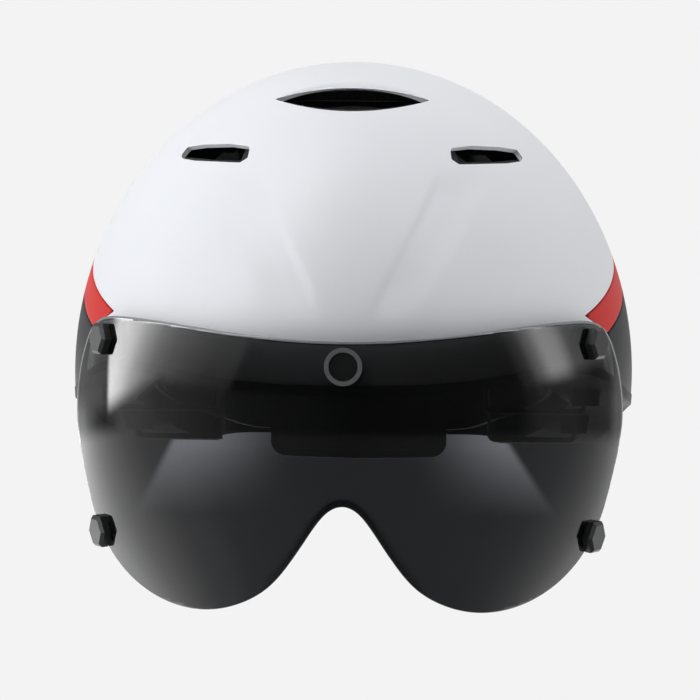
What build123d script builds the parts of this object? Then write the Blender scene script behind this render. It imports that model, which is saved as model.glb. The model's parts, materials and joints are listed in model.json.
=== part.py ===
from build123d import *
import math
import os

# Aero time trial helmet with a magnetic wraparound visor.
# The front faces -Y, +X is to the viewer's right and +Z is up.
# The origin is the middle of the head opening, at the height of the headband.
# All lengths are millimetres, all angles are degrees.

# Outer form: a front half egg and a longer rear half egg that meet over the ears
shell_half_width = 106.0
shell_front_length = 130.0
shell_rear_length = 165.0
shell_height = 117.5
tail_end = 150.0
tail_face_radius = 200.0
shell_wall = 2.0
bond_gap = 0.2
seam_gap = 0.3
overrun = 20.0

# Head space inside the foam, from the foam's thickness with its skin
foam_side = 23.0
foam_front = 23.0
foam_rear = 58.0
foam_top = 19.5
cavity_half_width = shell_half_width - foam_side
cavity_front_length = shell_front_length - foam_front
cavity_rear_length = shell_rear_length - foam_rear
cavity_height = shell_height - foam_top

# Rim seen from the side: shares of the front length, the tail length and the rim drop
rim_drop = 36.0
rim_front_shares = (
    (-1.1, 0.0),
    (-1.0, 0.0),
    (-0.885, 0.056),
    (-0.69, 0.155),
    (-0.5, 0.056),
    (-0.27, -0.195),
    (0.0, -0.347),
)
rim_rear_shares = (
    (0.133, -0.458),
    (0.24, -0.625),
    (0.333, -0.79),
    (0.45, -0.917),
    (0.633, -1.0),
    (0.733, -1.0),
    (0.833, -0.986),
    (1.0, -0.958),
    (1.13, -0.944),
)
trim_height = 3.5
trim_proud = 0.3

# Colour border between the white cap, the red band and the black rear shell
band_front_back = -72.0
band_front_height = 25.3
band_width = 10.8
band_rise_angle = 17.0
band_end_slant = 15.0
black_front_back = -52.0

# Mouth vent in the brow of the crown, lens shaped from the front
mouth_half_width = 28.0
mouth_corner_height = 102.2
mouth_roof_rise = 4.2
mouth_floor_drop = 4.2
vent_tunnel_back = -40.0
liner_lip = 0.5
mouth_duct_width = 38.0
mouth_duct_length = 20.0
mouth_duct_bottom = 84.0

# Side vents, one each side, with their outline as shares of half their size
side_vent_place_share = 0.467
side_vent_height = 82.6
side_vent_half_width = 13.0
side_vent_half_height = 3.2
side_vent_shares = (
    (-0.98, 0.75),
    (-0.5, 1.0),
    (0.3, 0.85),
    (0.78, 0.65),
    (1.0, -0.55),
    (0.05, -0.93),
    (-0.85, -1.0),
)
side_vent_corner = 0.9
side_duct_fall = 14.0

# Air channels moulded into the foam over the head
channel_depth = 6.0
centre_channel_width = 22.0
side_channel_width = 14.0
channel_front = -45.0
channel_back = 98.0

# Exhaust ports in the tail face
exhaust_middle = 25.0
exhaust_width = 28.0
exhaust_height = 10.0
exhaust_level = 30.0
exhaust_corner = 4.0
exhaust_start = 88.0

# Pocket in the foam for the head cradle
pocket_side_room = 25.0
pocket_front = 66.0
pocket_back = 124.0
pocket_roof = 6.0
pocket_corner = 14.0

# Comfort pads and the hook patches that hold them
pad_thickness = 5.0
pad_gap = 0.3
brow_pad_bottom = 4.0
brow_pad_top = 28.0
brow_pad_back = -62.0
side_pad_front = -38.0
side_pad_back = 26.0
side_pad_bottom = 22.0
side_pad_top = 44.0
side_pad_corner = 8.0
crown_pad_middle = 24.0
crown_pad_width = 15.0
crown_pad_front = -42.0
crown_pad_back = 50.0
patch_radius = 6.5
patch_depth = 0.9
patch_gap = 0.1
crown_patch_place = 24.0
brow_patch_middle = 26.0

# Visor lens: a shallow egg in front of the brow, cut to its outline from the front
lens_side_room = 4.0
lens_front_room = 9.0
lens_bend = 240.0
lens_middle_height = -10.0
lens_wall = 2.2
lens_top_corner_share = 0.758
lens_top_corner_z = 25.0
lens_top_middle_z = 19.0
lens_side_share = 0.9
lens_depth = 75.6
lens_side_shares = (
    (0.914, 0.288),
    (0.962, 0.185),
    (0.99, 0.0),
    (1.0, -0.24),
    (0.966, -0.463),
    (0.919, -0.661),
    (0.857, -0.8),
    (0.758, -0.919),
    (0.616, -0.992),
    (0.475, -1.0),
    (0.359, -0.958),
    (0.26, -0.877),
    (0.183, -0.758),
    (0.129, -0.653),
    (0.076, -0.553),
    (0.038, -0.507),
    (0.0, -0.492),
)

# Magnet cup in the middle of the visor, and its seat on the brow
cup_height = 10.7
cup_flange_radius = 6.5
cup_flange_proud = 1.3
cup_radius = 5.8
cup_bore_radius = 4.95
cup_floor = 0.9
cup_depth = 4.6
centre_magnet_radius = 4.85
centre_magnet_recess = 0.7
brow_seat_radius = 6.5
brow_seat_lip = 0.9
contact_gap = 0.1
fit_gap = 0.05
hole_gap = 0.15

# Studs at the four corners of the visor, with ring magnets behind the lens
upper_stud_share = 0.793
upper_stud_z = 16.1
lower_stud_share = 0.794
lower_stud_z = -53.0
stud_flats = 11.0
stud_height = 3.4
stud_chamfer = 1.1
stud_shank_radius = 2.4
stud_tail = 1.3
ring_magnet_radius = 4.8
ring_magnet_height = 1.1
temple_seat_radius = 6.2
temple_keeper_radius = 4.4
temple_keeper_height = 0.9

# Head cradle: its dial axis leans so that the arms rise towards the temples
dial_back = 98.0
dial_height = -26.0
cradle_tilt = 13.0
cradle_plate_radius = 90.0
cradle_plate_wall = 2.4
cradle_half_width = 36.0
cradle_half_height = 18.0
cradle_corner = 6.0
cradle_plate_back = -2.0
case_half_height = 14.0
case_corner = 4.0
case_split = 0.5
case_back = 6.0
case_wall = 2.0
case_rear_wall = 2.0
case_screw_x = 19.0
case_screw_z = 11.6
case_screw_radius = 1.1
case_screw_head_radius = 1.7
case_screw_head = 0.8

# Rack and pinion that tighten the cradle
pitch_radius = 4.5
tooth_count = 10
tooth_outward = 0.7
tooth_inward = 0.95
tooth_root_share = 0.42
tooth_tip_share = 0.2
arm_travel = 10.0
height_travel = 8.0
rack_front = 1.0
rack_wall = 2.4
rack_bar = 3.0
rack_inner_end = 6.0
rack_end_room = 5.0
rack_teeth_length = 22.0
rack_gap = 0.3
arm_wall = 1.8
arm_half_height = 5.0
arm_start = 34.0
arm_side_room = 8.4
arm_reach = 115.0
arm_shares = (
    (0.536, -0.0087),
    (0.617, 0.0435),
    (0.697, 0.165),
    (0.804, 0.339),
    (0.912, 0.548),
    (0.985, 0.774),
    (1.0, 1.0),
)
pinion_shaft_radius = 3.0
shaft_gap = 0.1
pinion_screw_radius = 1.2
pinion_screw_depth = 7.0

# Dial knob with its cap and screw
knob_radius = 17.0
knob_gap = 0.3
knob_length = 9.0
knob_flutes = 20
knob_flute_radius = 1.6
knob_edge = 1.0
cap_radius = 11.0
cap_height = 1.6
knob_screw_head_radius = 2.6
knob_screw_head = 1.6
knob_floor = 3.0

# Height tab of the cradle and its guide in the foam
tab_half_width = 6.0
tab_wall = 1.8
tab_front = -4.8
tab_grip = 14.0
guide_half_width = 11.0
guide_front = -7.4
guide_back = -1.0
guide_low_room = 2.0
guide_end_room = 4.0
guide_window_half_width = 3.5
guide_gap = 0.3
guide_screw_z_inset = 4.0
guide_screw_x = 8.6
guide_screw_radius = 1.0
guide_screw_length = 9.0
notch_pitch = 4.0
notch_depth = 0.6

# Pads on the cradle and on the ends of its arms
cradle_pad_wall = 3.5
cradle_pad_gap = 0.3
cradle_pad_inner = 4.0
cradle_pad_edge = 3.0
temple_pad_wall = 3.0
temple_pad_length = 24.0
temple_pad_half_height = 4.2
temple_pad_inset = 3.0

# Straps: webbing tucked up inside the head space
webbing_width = 15.0
webbing_wall = 1.2
anchor_inset = 3.5
anchor_length = 10.0
anchor_width = 20.0
anchor_height = 7.0
front_anchor_y = -38.0
front_anchor_bottom = -9.0
front_strap_run = -12.0
rear_anchor_y = 38.0
rear_anchor_bottom = -21.5
rear_strap_run = -29.5
anchor_grip = 4.0
anchor_gap = 0.25
front_strap_inset = 33.0
rear_strap_inset = 30.5
divider_y = 8.0
divider_bottom = 17.0
divider_height = 18.0
divider_width = 30.0
divider_cheek = 1.6
divider_grip = 4.0
divider_grip_top = 7.5
webbing_gap = 0.3
chin_strap_drop = 19.0
chin_strap_shares = (
    (1.0, 0.709),
    (0.9, 0.899),
    (0.75, 1.0),
)
chin_strap_bend_share = 0.24
chin_strap_grip = 7.0

# Side release buckle on the chin strap
buckle_width = 22.0
buckle_wall = 7.0
socket_length = 25.0
socket_end = 8.0
socket_skin = 1.4
plug_gap = 0.4
plug_body = 9.0
plug_prong_length = 15.0
plug_prong_width = 3.2
plug_prong_inset = 2.2
plug_guide_width = 3.0
buckle_corner = 2.5
buckle_slot = 8.0
keeper_height = 5.0
keeper_wall = 1.6
keeper_level = 44.0

# Lengths worked out from the sizes above
tooth_pitch = 2 * math.pi * pitch_radius / tooth_count
rack_root = pitch_radius + tooth_inward
side_vent_middle = shell_half_width * side_vent_place_share
lens_half_width = shell_half_width + lens_side_room
lens_reach = shell_front_length + lens_front_room
lens_top_corner_x = lens_half_width * lens_top_corner_share
lens_side = lens_half_width * lens_side_share
upper_stud_x = lens_half_width * upper_stud_share
lower_stud_x = lens_half_width * lower_stud_share
pocket_half_width = cavity_half_width - pocket_side_room
arm_spread = cavity_half_width - arm_side_room
anchor_x = cavity_half_width + anchor_inset
front_strap_x = cavity_half_width - front_strap_inset
rear_strap_x = cavity_half_width - rear_strap_inset
chin_strap_level = cavity_height - chin_strap_drop
chin_strap_bend = front_strap_x * chin_strap_bend_share
guide_bottom = cradle_half_height + height_travel + guide_low_room
tab_top = guide_bottom + tab_grip
case_half_width = rack_inner_end + arm_travel + rack_end_room + case_wall
guide_top = tab_top + height_travel + guide_end_room
dial_place = Location((0, dial_back, dial_height), (-cradle_tilt, 0, 0))
side_reach = shell_half_width + overrun


def egg(half_width, front_length, rear_length, height):
    """Two half eggs, sewn into one solid at the widest section."""
    ball = Sphere(height)
    skins = []
    for keep, length in ((Keep.TOP, front_length), (Keep.BOTTOM, rear_length)):
        half = split(ball, bisect_by=Plane.XZ, keep=keep)
        half = scale(half, by=(half_width / height, length / height, 1))
        skins += half.faces().sort_by(SortBy.AREA)[-2:]
    skins = [skin for skin in skins if skin.geom_type != GeomType.PLANE and abs(skin.center().Y) > bond_gap]
    return Part() + Solid(Shell(skins))


def behind_tail(inset):
    """What lies behind the rounded tail face."""
    depth = shell_rear_length - tail_end + overrun
    block_start = tail_end - tail_face_radius + math.sqrt(tail_face_radius**2 - shell_half_width**2)
    block_length = shell_rear_length + depth - block_start
    block = Pos(0, block_start + block_length / 2, 0) * Box(2 * side_reach, block_length, 2 * side_reach)
    return block - Pos(0, tail_end - tail_face_radius, 0) * Sphere(tail_face_radius - inset)


def outer_form(inset):
    """The helmet's outer form, drawn in by an inset."""
    body = egg(
        shell_half_width - inset,
        shell_front_length - inset,
        shell_rear_length - inset,
        shell_height - inset,
    )
    return body - behind_tail(inset)


def head_form(inset):
    """The head space, drawn in by an inset, or let out by a negative one."""
    return egg(
        cavity_half_width - inset,
        cavity_front_length - inset,
        cavity_rear_length - inset,
        cavity_height - inset,
    )


def lens_form(inset):
    """The egg that the visor lens is part of."""
    bend = lens_bend - inset
    width_share = (lens_half_width - inset) / bend
    reach_share = (lens_reach - inset) / bend
    ball = scale(Sphere(bend), by=(width_share, reach_share, 1))
    return Pos(0, 0, lens_middle_height) * ball


def across(face, half_length=side_reach):
    """A side view outline given in Y and Z, carried across the helmet along X."""
    return extrude(Plane.YZ * face, amount=half_length, both=True)


def rim_points(lift):
    """The rim seen from the side, raised by a lift."""
    front = [(y * shell_front_length, z * rim_drop + lift) for y, z in rim_front_shares]
    rear = [(y * tail_end, z * rim_drop + lift) for y, z in rim_rear_shares]
    return front + rear


def above_rim(lift=0.0):
    """Everything over the rim line."""
    points = rim_points(lift)
    top = shell_height + overrun
    lid = Polyline(points[-1], (points[-1][0], top), (points[0][0], top), points[0])
    return across(make_face([Spline(*points), lid]))


def band_line(offset):
    """Two points of a colour border, a given distance under the white one."""
    rise = math.tan(math.radians(band_rise_angle))
    drop = offset / math.cos(math.radians(band_rise_angle))
    back = tail_end + overrun
    start = band_front_back + band_end_slant * offset / band_width
    start_height = band_front_height + (start - band_front_back) * rise - drop
    return (start, start_height), (back, start_height + (back - start) * rise)


def accent_zone():
    """Side view of the red band."""
    high_front, high_back = band_line(0.0)
    low_front, low_back = band_line(band_width)
    return across(make_face(Polyline(high_front, high_back, low_back, low_front, close=True)))


def black_zone(grow):
    """Side view of the black rear shell, grown forward and upward by a gap."""
    front, back = band_line(band_width - grow)
    low = -rim_drop - overrun
    foot = black_front_back - grow
    points = ((front[0] - grow, front[1]), back, (back[0], low), (foot, low), (foot, 0))
    return across(make_face(Polyline(*points, close=True)))


def colour_zone():
    """Red band and black shell together, with the seam to the white cap."""
    front, back = band_line(-seam_gap)
    low_front, _ = band_line(band_width)
    low = -rim_drop - overrun
    foot = black_front_back - seam_gap
    points = (
        (front[0] - seam_gap, front[1]),
        back,
        (back[0], low),
        (foot, low),
        (foot, 0),
        (low_front[0] - seam_gap, low_front[1] - seam_gap),
    )
    return across(make_face(Polyline(*points, close=True)))


def mouth_outline(inset):
    """Lens shaped mouth, as seen from the front."""
    left = (-mouth_half_width, mouth_corner_height)
    right = (mouth_half_width, mouth_corner_height)
    roof = ThreePointArc(left, (0, mouth_corner_height + mouth_roof_rise - inset), right)
    sill = ThreePointArc(right, (0, mouth_corner_height - mouth_floor_drop + inset), left)
    return make_face([roof, sill])


def side_vent_outline(side, inset):
    """A side vent, as seen from the front."""
    half_width = side_vent_half_width - inset
    half_height = side_vent_half_height - inset
    points = [
        (side * (side_vent_middle + x * half_width), side_vent_height + z * half_height)
        for x, z in side_vent_shares
    ]
    face = make_face(Polyline(*points, close=True))
    return fillet(face.vertices(), side_vent_corner)


def front_tunnel(face, back):
    """A front view outline carried from a depth out past the brow."""
    length = back + shell_front_length + overrun
    return Pos(0, back, 0) * extrude(Plane.XZ * face, amount=length)


def front_vents(inset):
    """The mouth and both side vents."""
    cut = front_tunnel(mouth_outline(inset), vent_tunnel_back)
    for side in (-1, 1):
        cut += front_tunnel(side_vent_outline(side, inset), vent_tunnel_back)
    return cut


def exhaust_ports(inset):
    """Both exhaust ports through the tail face."""
    cut = Part()
    length = tail_end + overrun - exhaust_start
    for side in (-1, 1):
        slot = RectangleRounded(
            exhaust_width - 2 * inset,
            exhaust_height - 2 * inset,
            exhaust_corner - inset,
        )
        place = Plane(
            origin=(side * exhaust_middle, exhaust_start, exhaust_level),
            x_dir=(1, 0, 0),
            z_dir=(0, 1, 0),
        )
        cut += extrude(place * slot, amount=length)
    return cut


def whole_skin():
    """The outer skin over its full height, open at the rim."""
    skin = outer_form(0) - outer_form(shell_wall)
    skin = skin & above_rim(trim_height + seam_gap)
    return skin - front_vents(0.0) - exhaust_ports(0.0)


def rim_trim():
    """Edging along the whole rim, a little proud of the shells."""
    ring = outer_form(-trim_proud) - outer_form(shell_wall + bond_gap)
    return (ring & above_rim()) - above_rim(trim_height)


def duct_cuts():
    """Ducts that lead the vents down into the head space, and channels over the head."""
    duct_height = mouth_corner_height - mouth_duct_bottom
    cut = Pos(0, vent_tunnel_back, mouth_duct_bottom + duct_height / 2) * Box(
        mouth_duct_width,
        mouth_duct_length,
        duct_height,
    )
    for side in (-1, 1):
        duct = Pos(
            side * side_vent_middle,
            vent_tunnel_back,
            side_vent_height - side_duct_fall / 2,
        ) * Box(2 * side_vent_half_width, mouth_duct_length, side_duct_fall)
        cut += duct
    return cut


def channel_cuts():
    """Air channels in the foam's inner face."""
    length = channel_back - channel_front
    middle = channel_front + length / 2
    plan = Pos(0, middle) * Rectangle(centre_channel_width, length)
    for side in (-1, 1):
        plan += Pos(side * side_vent_middle, middle) * Rectangle(side_channel_width, length)
    prism = extrude(plan, amount=cavity_height + overrun)
    level = Pos(0, 0, exhaust_level - exhaust_height) * prism
    return head_form(-channel_depth) & level


def cradle_pocket():
    """Recess behind and above the rim for the cradle and its dial."""
    length = pocket_back - pocket_front
    plan = RectangleRounded(2 * pocket_half_width, length, pocket_corner)
    low = -rim_drop - overrun
    block = extrude(plan, amount=pocket_roof - low)
    return Pos(0, pocket_front + length / 2, low) * block


def pad_patches(radius, inset_out, inset_in):
    """Round patches between the pads and the foam."""
    skin = head_form(-inset_out) - head_form(inset_in)
    length = shell_height + overrun
    posts = Part()
    for side in (-1, 1):
        for y in (-crown_patch_place, crown_patch_place):
            posts += Pos(side * crown_pad_middle, y, length / 2) * Cylinder(radius, length)
        lying = Rotation(90, 0, 0) * Cylinder(radius, length)
        brow_level = (brow_pad_bottom + brow_pad_top) / 2
        posts += Pos(side * brow_patch_middle, -length / 2, brow_level) * lying
        sideways = Rotation(0, 90, 0) * Cylinder(radius, length)
        side_level = (side_pad_bottom + side_pad_top) / 2
        side_middle = (side_pad_front + side_pad_back) / 2
        posts += Pos(side * length / 2, side_middle, side_level) * sideways
    return skin & posts


def foam_liner():
    """Moulded foam between the skin and the head."""
    foam = outer_form(shell_wall + bond_gap) - head_form(0.0)
    foam = foam & above_rim()
    foam = foam - front_vents(liner_lip) - duct_cuts() - channel_cuts()
    foam = foam - exhaust_ports(liner_lip) - cradle_pocket()
    foam = foam - pad_patches(patch_radius + patch_gap, patch_depth + patch_gap, pad_gap)
    return foam - anchor_pockets() - guide_pocket()


def anchor_places():
    """Name, middle and bottom of each strap anchor."""
    places = []
    for side, word in ((-1, "left"), (1, "right")):
        places.append(("front", word, side, front_anchor_y, front_anchor_bottom))
        places.append(("rear", word, side, rear_anchor_y, rear_anchor_bottom))
    return places


def anchor_pockets():
    """Recesses for the strap anchors in the foam's lower edge."""
    cut = Part()
    height = anchor_height + overrun
    for _, _, side, y, bottom in anchor_places():
        middle = bottom + anchor_height + anchor_gap - height / 2
        cut += Pos(side * anchor_x, y, middle) * Box(
            anchor_length + 2 * anchor_gap,
            anchor_width + 2 * anchor_gap,
            height,
        )
    return cut


def strap_anchor(side, y, bottom):
    """Plate that holds one end of the webbing in the foam."""
    plate = Pos(side * anchor_x, y, bottom + anchor_height / 2) * Box(
        anchor_length,
        anchor_width,
        anchor_height,
    )
    slot_height = anchor_grip + 2 * webbing_gap
    slot = Pos(side * anchor_x, y, bottom + slot_height / 2) * Box(
        webbing_wall + 2 * webbing_gap,
        webbing_width + 2 * webbing_gap,
        slot_height,
    )
    return plate - slot


def brow_pad():
    """Pad behind the forehead."""
    band = head_form(pad_gap) - head_form(pad_gap + pad_thickness)
    height = brow_pad_top - brow_pad_bottom
    length = brow_pad_back + cavity_front_length + overrun
    block = Pos(0, brow_pad_back - length / 2, brow_pad_bottom + height / 2) * Box(
        2 * cavity_half_width,
        length,
        height,
    )
    return band & block


def side_pad(side):
    """Pad over the ear."""
    band = head_form(pad_gap) - head_form(pad_gap + pad_thickness)
    plan = RectangleRounded(
        side_pad_back - side_pad_front,
        side_pad_top - side_pad_bottom,
        side_pad_corner,
    )
    middle = ((side_pad_front + side_pad_back) / 2, (side_pad_bottom + side_pad_top) / 2)
    block = extrude(Plane.YZ * (Pos(*middle) * plan), amount=side * side_reach)
    return band & block


def crown_pad(side):
    """Long pad beside the centre channel."""
    band = head_form(pad_gap) - head_form(pad_gap + pad_thickness)
    length = crown_pad_back - crown_pad_front
    plan = Rotation(0, 0, 90) * SlotOverall(length, crown_pad_width)
    place = Pos(side * crown_pad_middle, (crown_pad_front + crown_pad_back) / 2)
    return band & extrude(place * plan, amount=side_reach)


def lens_outline():
    """The visor from the front: top edge, sides, two lobes and the nose notch."""
    right = [(lens_top_corner_x, lens_top_corner_z)]
    right += [(x * lens_side, z * lens_depth) for x, z in lens_side_shares]
    left = [(-x, z) for x, z in reversed(right[:-1])]
    top = ThreePointArc(left[-1], (0, lens_top_middle_z), right[0])
    return make_face([Spline(*right, *left), top])


def lens_plane(x, z, inset=0.0):
    """Plane on the lens face, with its normal pointing out of the lens."""
    lift = z - lens_middle_height
    width = lens_half_width - inset
    reach = lens_reach - inset
    bend = lens_bend - inset
    y = -reach * math.sqrt(1 - (x / width) ** 2 - (lift / bend) ** 2)
    normal = Vector(x / width**2, y / reach**2, lift / bend**2).normalized()
    return Plane(origin=(x, y, z), x_dir=(-normal.Y, normal.X, 0), z_dir=normal)


def stud_places():
    """Name, side, X and Z of each corner stud."""
    places = []
    for side, word in ((-1, "left"), (1, "right")):
        places.append(("upper", word, side * upper_stud_x, upper_stud_z))
        places.append(("lower", word, side * lower_stud_x, lower_stud_z))
    return places


def visor_lens():
    """The smoked lens with its four stud holes and its cup hole."""
    reach = lens_reach + overrun
    lens = (lens_form(0.0) - lens_form(lens_wall)) & extrude(Plane.XZ * lens_outline(), amount=reach)
    for _, _, x, z in stud_places():
        lens = lens - lens_plane(x, z) * Cylinder(stud_shank_radius + hole_gap, overrun)
    return lens - lens_plane(0, cup_height) * Cylinder(cup_radius + hole_gap, overrun)


def corner_stud(x, z):
    """Six sided head outside the lens, with a shank through it."""
    head = extrude(RegularPolygon(stud_flats / 2, 6, major_radius=False), amount=stud_height)
    rim = head.faces().sort_by(Axis.Z)[-1].edges()
    head = chamfer(rim, stud_chamfer)
    root = extrude(RegularPolygon(stud_flats / 2, 6, major_radius=False), amount=-lens_wall)
    head = lens_plane(x, z) * (head + root) - lens_form(-fit_gap)
    tail = lens_wall + stud_tail
    length = tail + stud_height / 2
    shank = Pos(0, 0, stud_height / 2 - length / 2) * Cylinder(stud_shank_radius, length)
    return head + lens_plane(x, z) * shank


def ring_magnet(x, z):
    """Ring magnet pressed over the shank, behind the lens."""
    depth = lens_wall + stud_tail
    start = depth - contact_gap - ring_magnet_height
    ring = Cylinder(ring_magnet_radius, 2 * ring_magnet_height) - Cylinder(
        stud_shank_radius + fit_gap,
        overrun,
    )
    ring = lens_plane(x, z) * (Pos(0, 0, -start) * ring)
    return ring & lens_form(lens_wall + fit_gap)


def temple_seat(x, z):
    """Boss on the shell that the upper stud's magnet pulls against."""
    depth = lens_wall + stud_tail + contact_gap
    length = lens_wall + overrun / 2
    post = Pos(0, 0, -depth - length / 2) * Cylinder(temple_seat_radius, length)
    post = lens_plane(x, z) * post
    pocket = Pos(0, 0, -depth) * Cylinder(
        temple_keeper_radius + fit_gap,
        2 * (temple_keeper_height + fit_gap),
    )
    return post - outer_form(-fit_gap) - lens_plane(x, z) * pocket


def temple_keeper(x, z):
    """Steel disc in the temple boss."""
    depth = lens_wall + stud_tail + contact_gap
    disc = Pos(0, 0, -depth - temple_keeper_height / 2) * Cylinder(
        temple_keeper_radius,
        temple_keeper_height,
    )
    return lens_plane(x, z) * disc


def centre_cup():
    """Cup through the lens with a flange ring outside."""
    flange = Pos(0, 0, cup_flange_proud / 2 - lens_wall / 2) * Cylinder(
        cup_flange_radius,
        cup_flange_proud + lens_wall,
    )
    plane = lens_plane(0, cup_height)
    flange = plane * flange - lens_form(-fit_gap)
    length = cup_flange_proud + cup_depth
    sleeve = Pos(0, 0, cup_flange_proud - length / 2) * Cylinder(cup_radius, length)
    bore = Pos(0, 0, cup_flange_proud + cup_floor - length / 2) * Cylinder(
        cup_bore_radius,
        length,
    )
    return flange + plane * sleeve - plane * bore


def centre_magnet():
    """Disc magnet in the cup."""
    top = cup_flange_proud - centre_magnet_recess
    bottom = cup_floor + fit_gap - cup_depth
    disc = Pos(0, 0, (top + bottom) / 2) * Cylinder(centre_magnet_radius, top - bottom)
    return lens_plane(0, cup_height) * disc


def brow_seat():
    """Boss on the brow that the visor cup rests against."""
    start = cup_depth + contact_gap
    post = Pos(0, 0, -start - overrun / 4) * Cylinder(brow_seat_radius, overrun / 2)
    plane = lens_plane(0, cup_height)
    depth = brow_magnet_height() + fit_gap
    pocket = Pos(0, 0, -start) * Cylinder(centre_magnet_radius + fit_gap, 2 * depth)
    return plane * post - outer_form(-fit_gap) - plane * pocket


def brow_magnet_height():
    """Height of the brow magnet, which leaves a floor in its boss."""
    gap = lens_reach - shell_front_length - cup_depth
    return gap - brow_seat_lip


def brow_magnet():
    """Disc magnet in the brow boss."""
    height = brow_magnet_height()
    disc = Pos(0, 0, -cup_depth - contact_gap - height / 2) * Cylinder(
        centre_magnet_radius,
        height,
    )
    return lens_plane(0, cup_height) * disc


def wedge_tooth(root, tip):
    """A tooth outline from root to tip height, on the Y axis."""
    root_half = tooth_pitch * tooth_root_share / 2
    tip_half = tooth_pitch * tooth_tip_share / 2
    return make_face(
        Polyline(
            (-root_half, root),
            (-tip_half, tip),
            (tip_half, tip),
            (root_half, root),
            close=True,
        )
    )


def upright(face, start, length):
    """A dial face outline in X and Z, carried backward from a depth."""
    return Pos(0, start, 0) * extrude(Plane.XZ * face, amount=-length)


def dial_pinion():
    """Pinion between the racks, with the shaft that the knob sits on."""
    root_radius = pitch_radius - tooth_inward
    plan = Circle(root_radius)
    for count in range(tooth_count):
        angle = 360 * count / tooth_count
        tooth = wedge_tooth(root_radius * math.cos(math.pi / tooth_count), pitch_radius + tooth_outward)
        plan += Rotation(0, 0, angle) * tooth
    gear = upright(plan, rack_front, rack_wall)
    shaft_end = case_back + knob_gap + knob_floor
    shaft = upright(Circle(pinion_shaft_radius), rack_front, shaft_end - rack_front)
    bore = upright(
        Circle(pinion_screw_radius + fit_gap),
        shaft_end - pinion_screw_depth,
        pinion_screw_depth + overrun,
    )
    return dial_place * (gear + shaft - bore)


def rack_plan():
    """Upper rack bar with its teeth, in the dial's plane."""
    tip = pitch_radius - tooth_outward
    bar_length = arm_start + rack_inner_end + arm_wall
    bar = Pos(rack_inner_end - bar_length / 2, rack_root + rack_bar / 2) * Rectangle(bar_length, rack_bar)
    count = int(rack_teeth_length / tooth_pitch)
    innermost = int(rack_inner_end / tooth_pitch - tooth_root_share - 0.5)
    for step in range(count):
        x = (innermost + 0.5 - step) * tooth_pitch
        bar += Pos(x, 0) * wedge_tooth(rack_root + tooth_inward / 2, tip)
    return bar


def arm_line():
    """Middle line of the left arm, seen from above, from the rack's end to the temple."""
    start = (-arm_start, rack_front + rack_wall / 2)
    points = [(-x * arm_spread, -y * arm_reach) for x, y in arm_shares]
    return Spline(start, *points)


def arm_strip():
    """Curved strip of the left arm, seen from above and carried to its height."""
    line = arm_line()
    half = arm_wall / 2
    outer = []
    inner = []
    steps = 2 * len(arm_shares) + 2
    for step in range(steps + 1):
        point = line.position_at(step / steps)
        way = line.tangent_at(step / steps)
        outer.append((point.X + way.Y * half, point.Y - way.X * half))
        inner.append((point.X - way.Y * half, point.Y + way.X * half))
    plan = make_face(
        [
            Spline(*outer),
            Line(outer[-1], inner[-1]),
            Spline(*reversed(inner)),
            Line(inner[0], outer[0]),
        ]
    )
    return Pos(0, 0, -arm_half_height) * extrude(plan, amount=2 * arm_half_height)


def rack_end():
    """Left rack with the post that ties it to its arm."""
    rack = upright(rack_plan(), rack_front, rack_wall)
    post_height = rack_root + rack_bar + arm_half_height
    post = Pos(
        -arm_start - arm_wall / 2,
        rack_front + rack_wall / 2,
        post_height / 2 - arm_half_height,
    ) * Box(arm_wall, rack_wall, post_height)
    return rack + post


def cradle_arm(side):
    """One adjusting arm. The right rack is the left one turned half round the dial."""
    rack = rack_end()
    strip = arm_strip()
    if side > 0:
        rack = Rotation(0, 180, 0) * rack
        strip = mirror(strip, about=Plane.YZ)
    return dial_place * (rack + strip)


def cradle_plate():
    """Curved plate behind the head, in the dial's own frame."""
    radius = cradle_plate_radius
    ring = Circle(radius) - Circle(radius - cradle_plate_wall)
    plan = Pos(0, cradle_plate_back - radius) * ring
    tall = extrude(plan, amount=cradle_half_height, both=True)
    window = RectangleRounded(
        2 * cradle_half_width,
        2 * cradle_half_height,
        cradle_corner,
    )
    depth = radius
    return tall & upright(window, cradle_plate_back - depth, depth + overrun)


def case_block(start, end, half_width, half_height):
    """Rounded block of the dial case."""
    face = RectangleRounded(2 * half_width, 2 * half_height, case_corner)
    return upright(face, start, end - start)


def case_screw_points():
    """Middles of the four case screws."""
    return [(x, z) for x in (-case_screw_x, case_screw_x) for z in (-case_screw_z, case_screw_z)]


def cradle():
    """Plate, front half of the dial case and height tab, moulded in one."""
    body = cradle_plate()
    front = cradle_plate_back - cradle_plate_wall
    body += case_block(front, case_split - fit_gap, case_half_width, case_half_height)
    tab_height = tab_top - case_half_height + case_corner
    tab_middle = tab_top - tab_height / 2
    tab = Pos(0, tab_front + tab_wall / 2, tab_middle) * Box(2 * tab_half_width, tab_wall, tab_height)
    for step in range(int(tab_height / notch_pitch) - 2):
        level = tab_top - notch_pitch - step * notch_pitch
        notch = Pos(0, tab_front, level) * Rotation(0, 90, 0) * Cylinder(
            notch_depth,
            2 * guide_window_half_width,
        )
        tab -= notch
    foot = Pos(0, (tab_front + case_split) / 2 - fit_gap, case_half_height - case_corner / 2) * Box(
        2 * tab_half_width,
        case_split - tab_front - 2 * fit_gap,
        case_corner,
    )
    body = body + tab + foot
    for x, z in case_screw_points():
        body -= upright(Pos(x, z) * Circle(case_screw_radius + fit_gap), front - overrun, 2 * overrun)
    return dial_place * body


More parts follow.
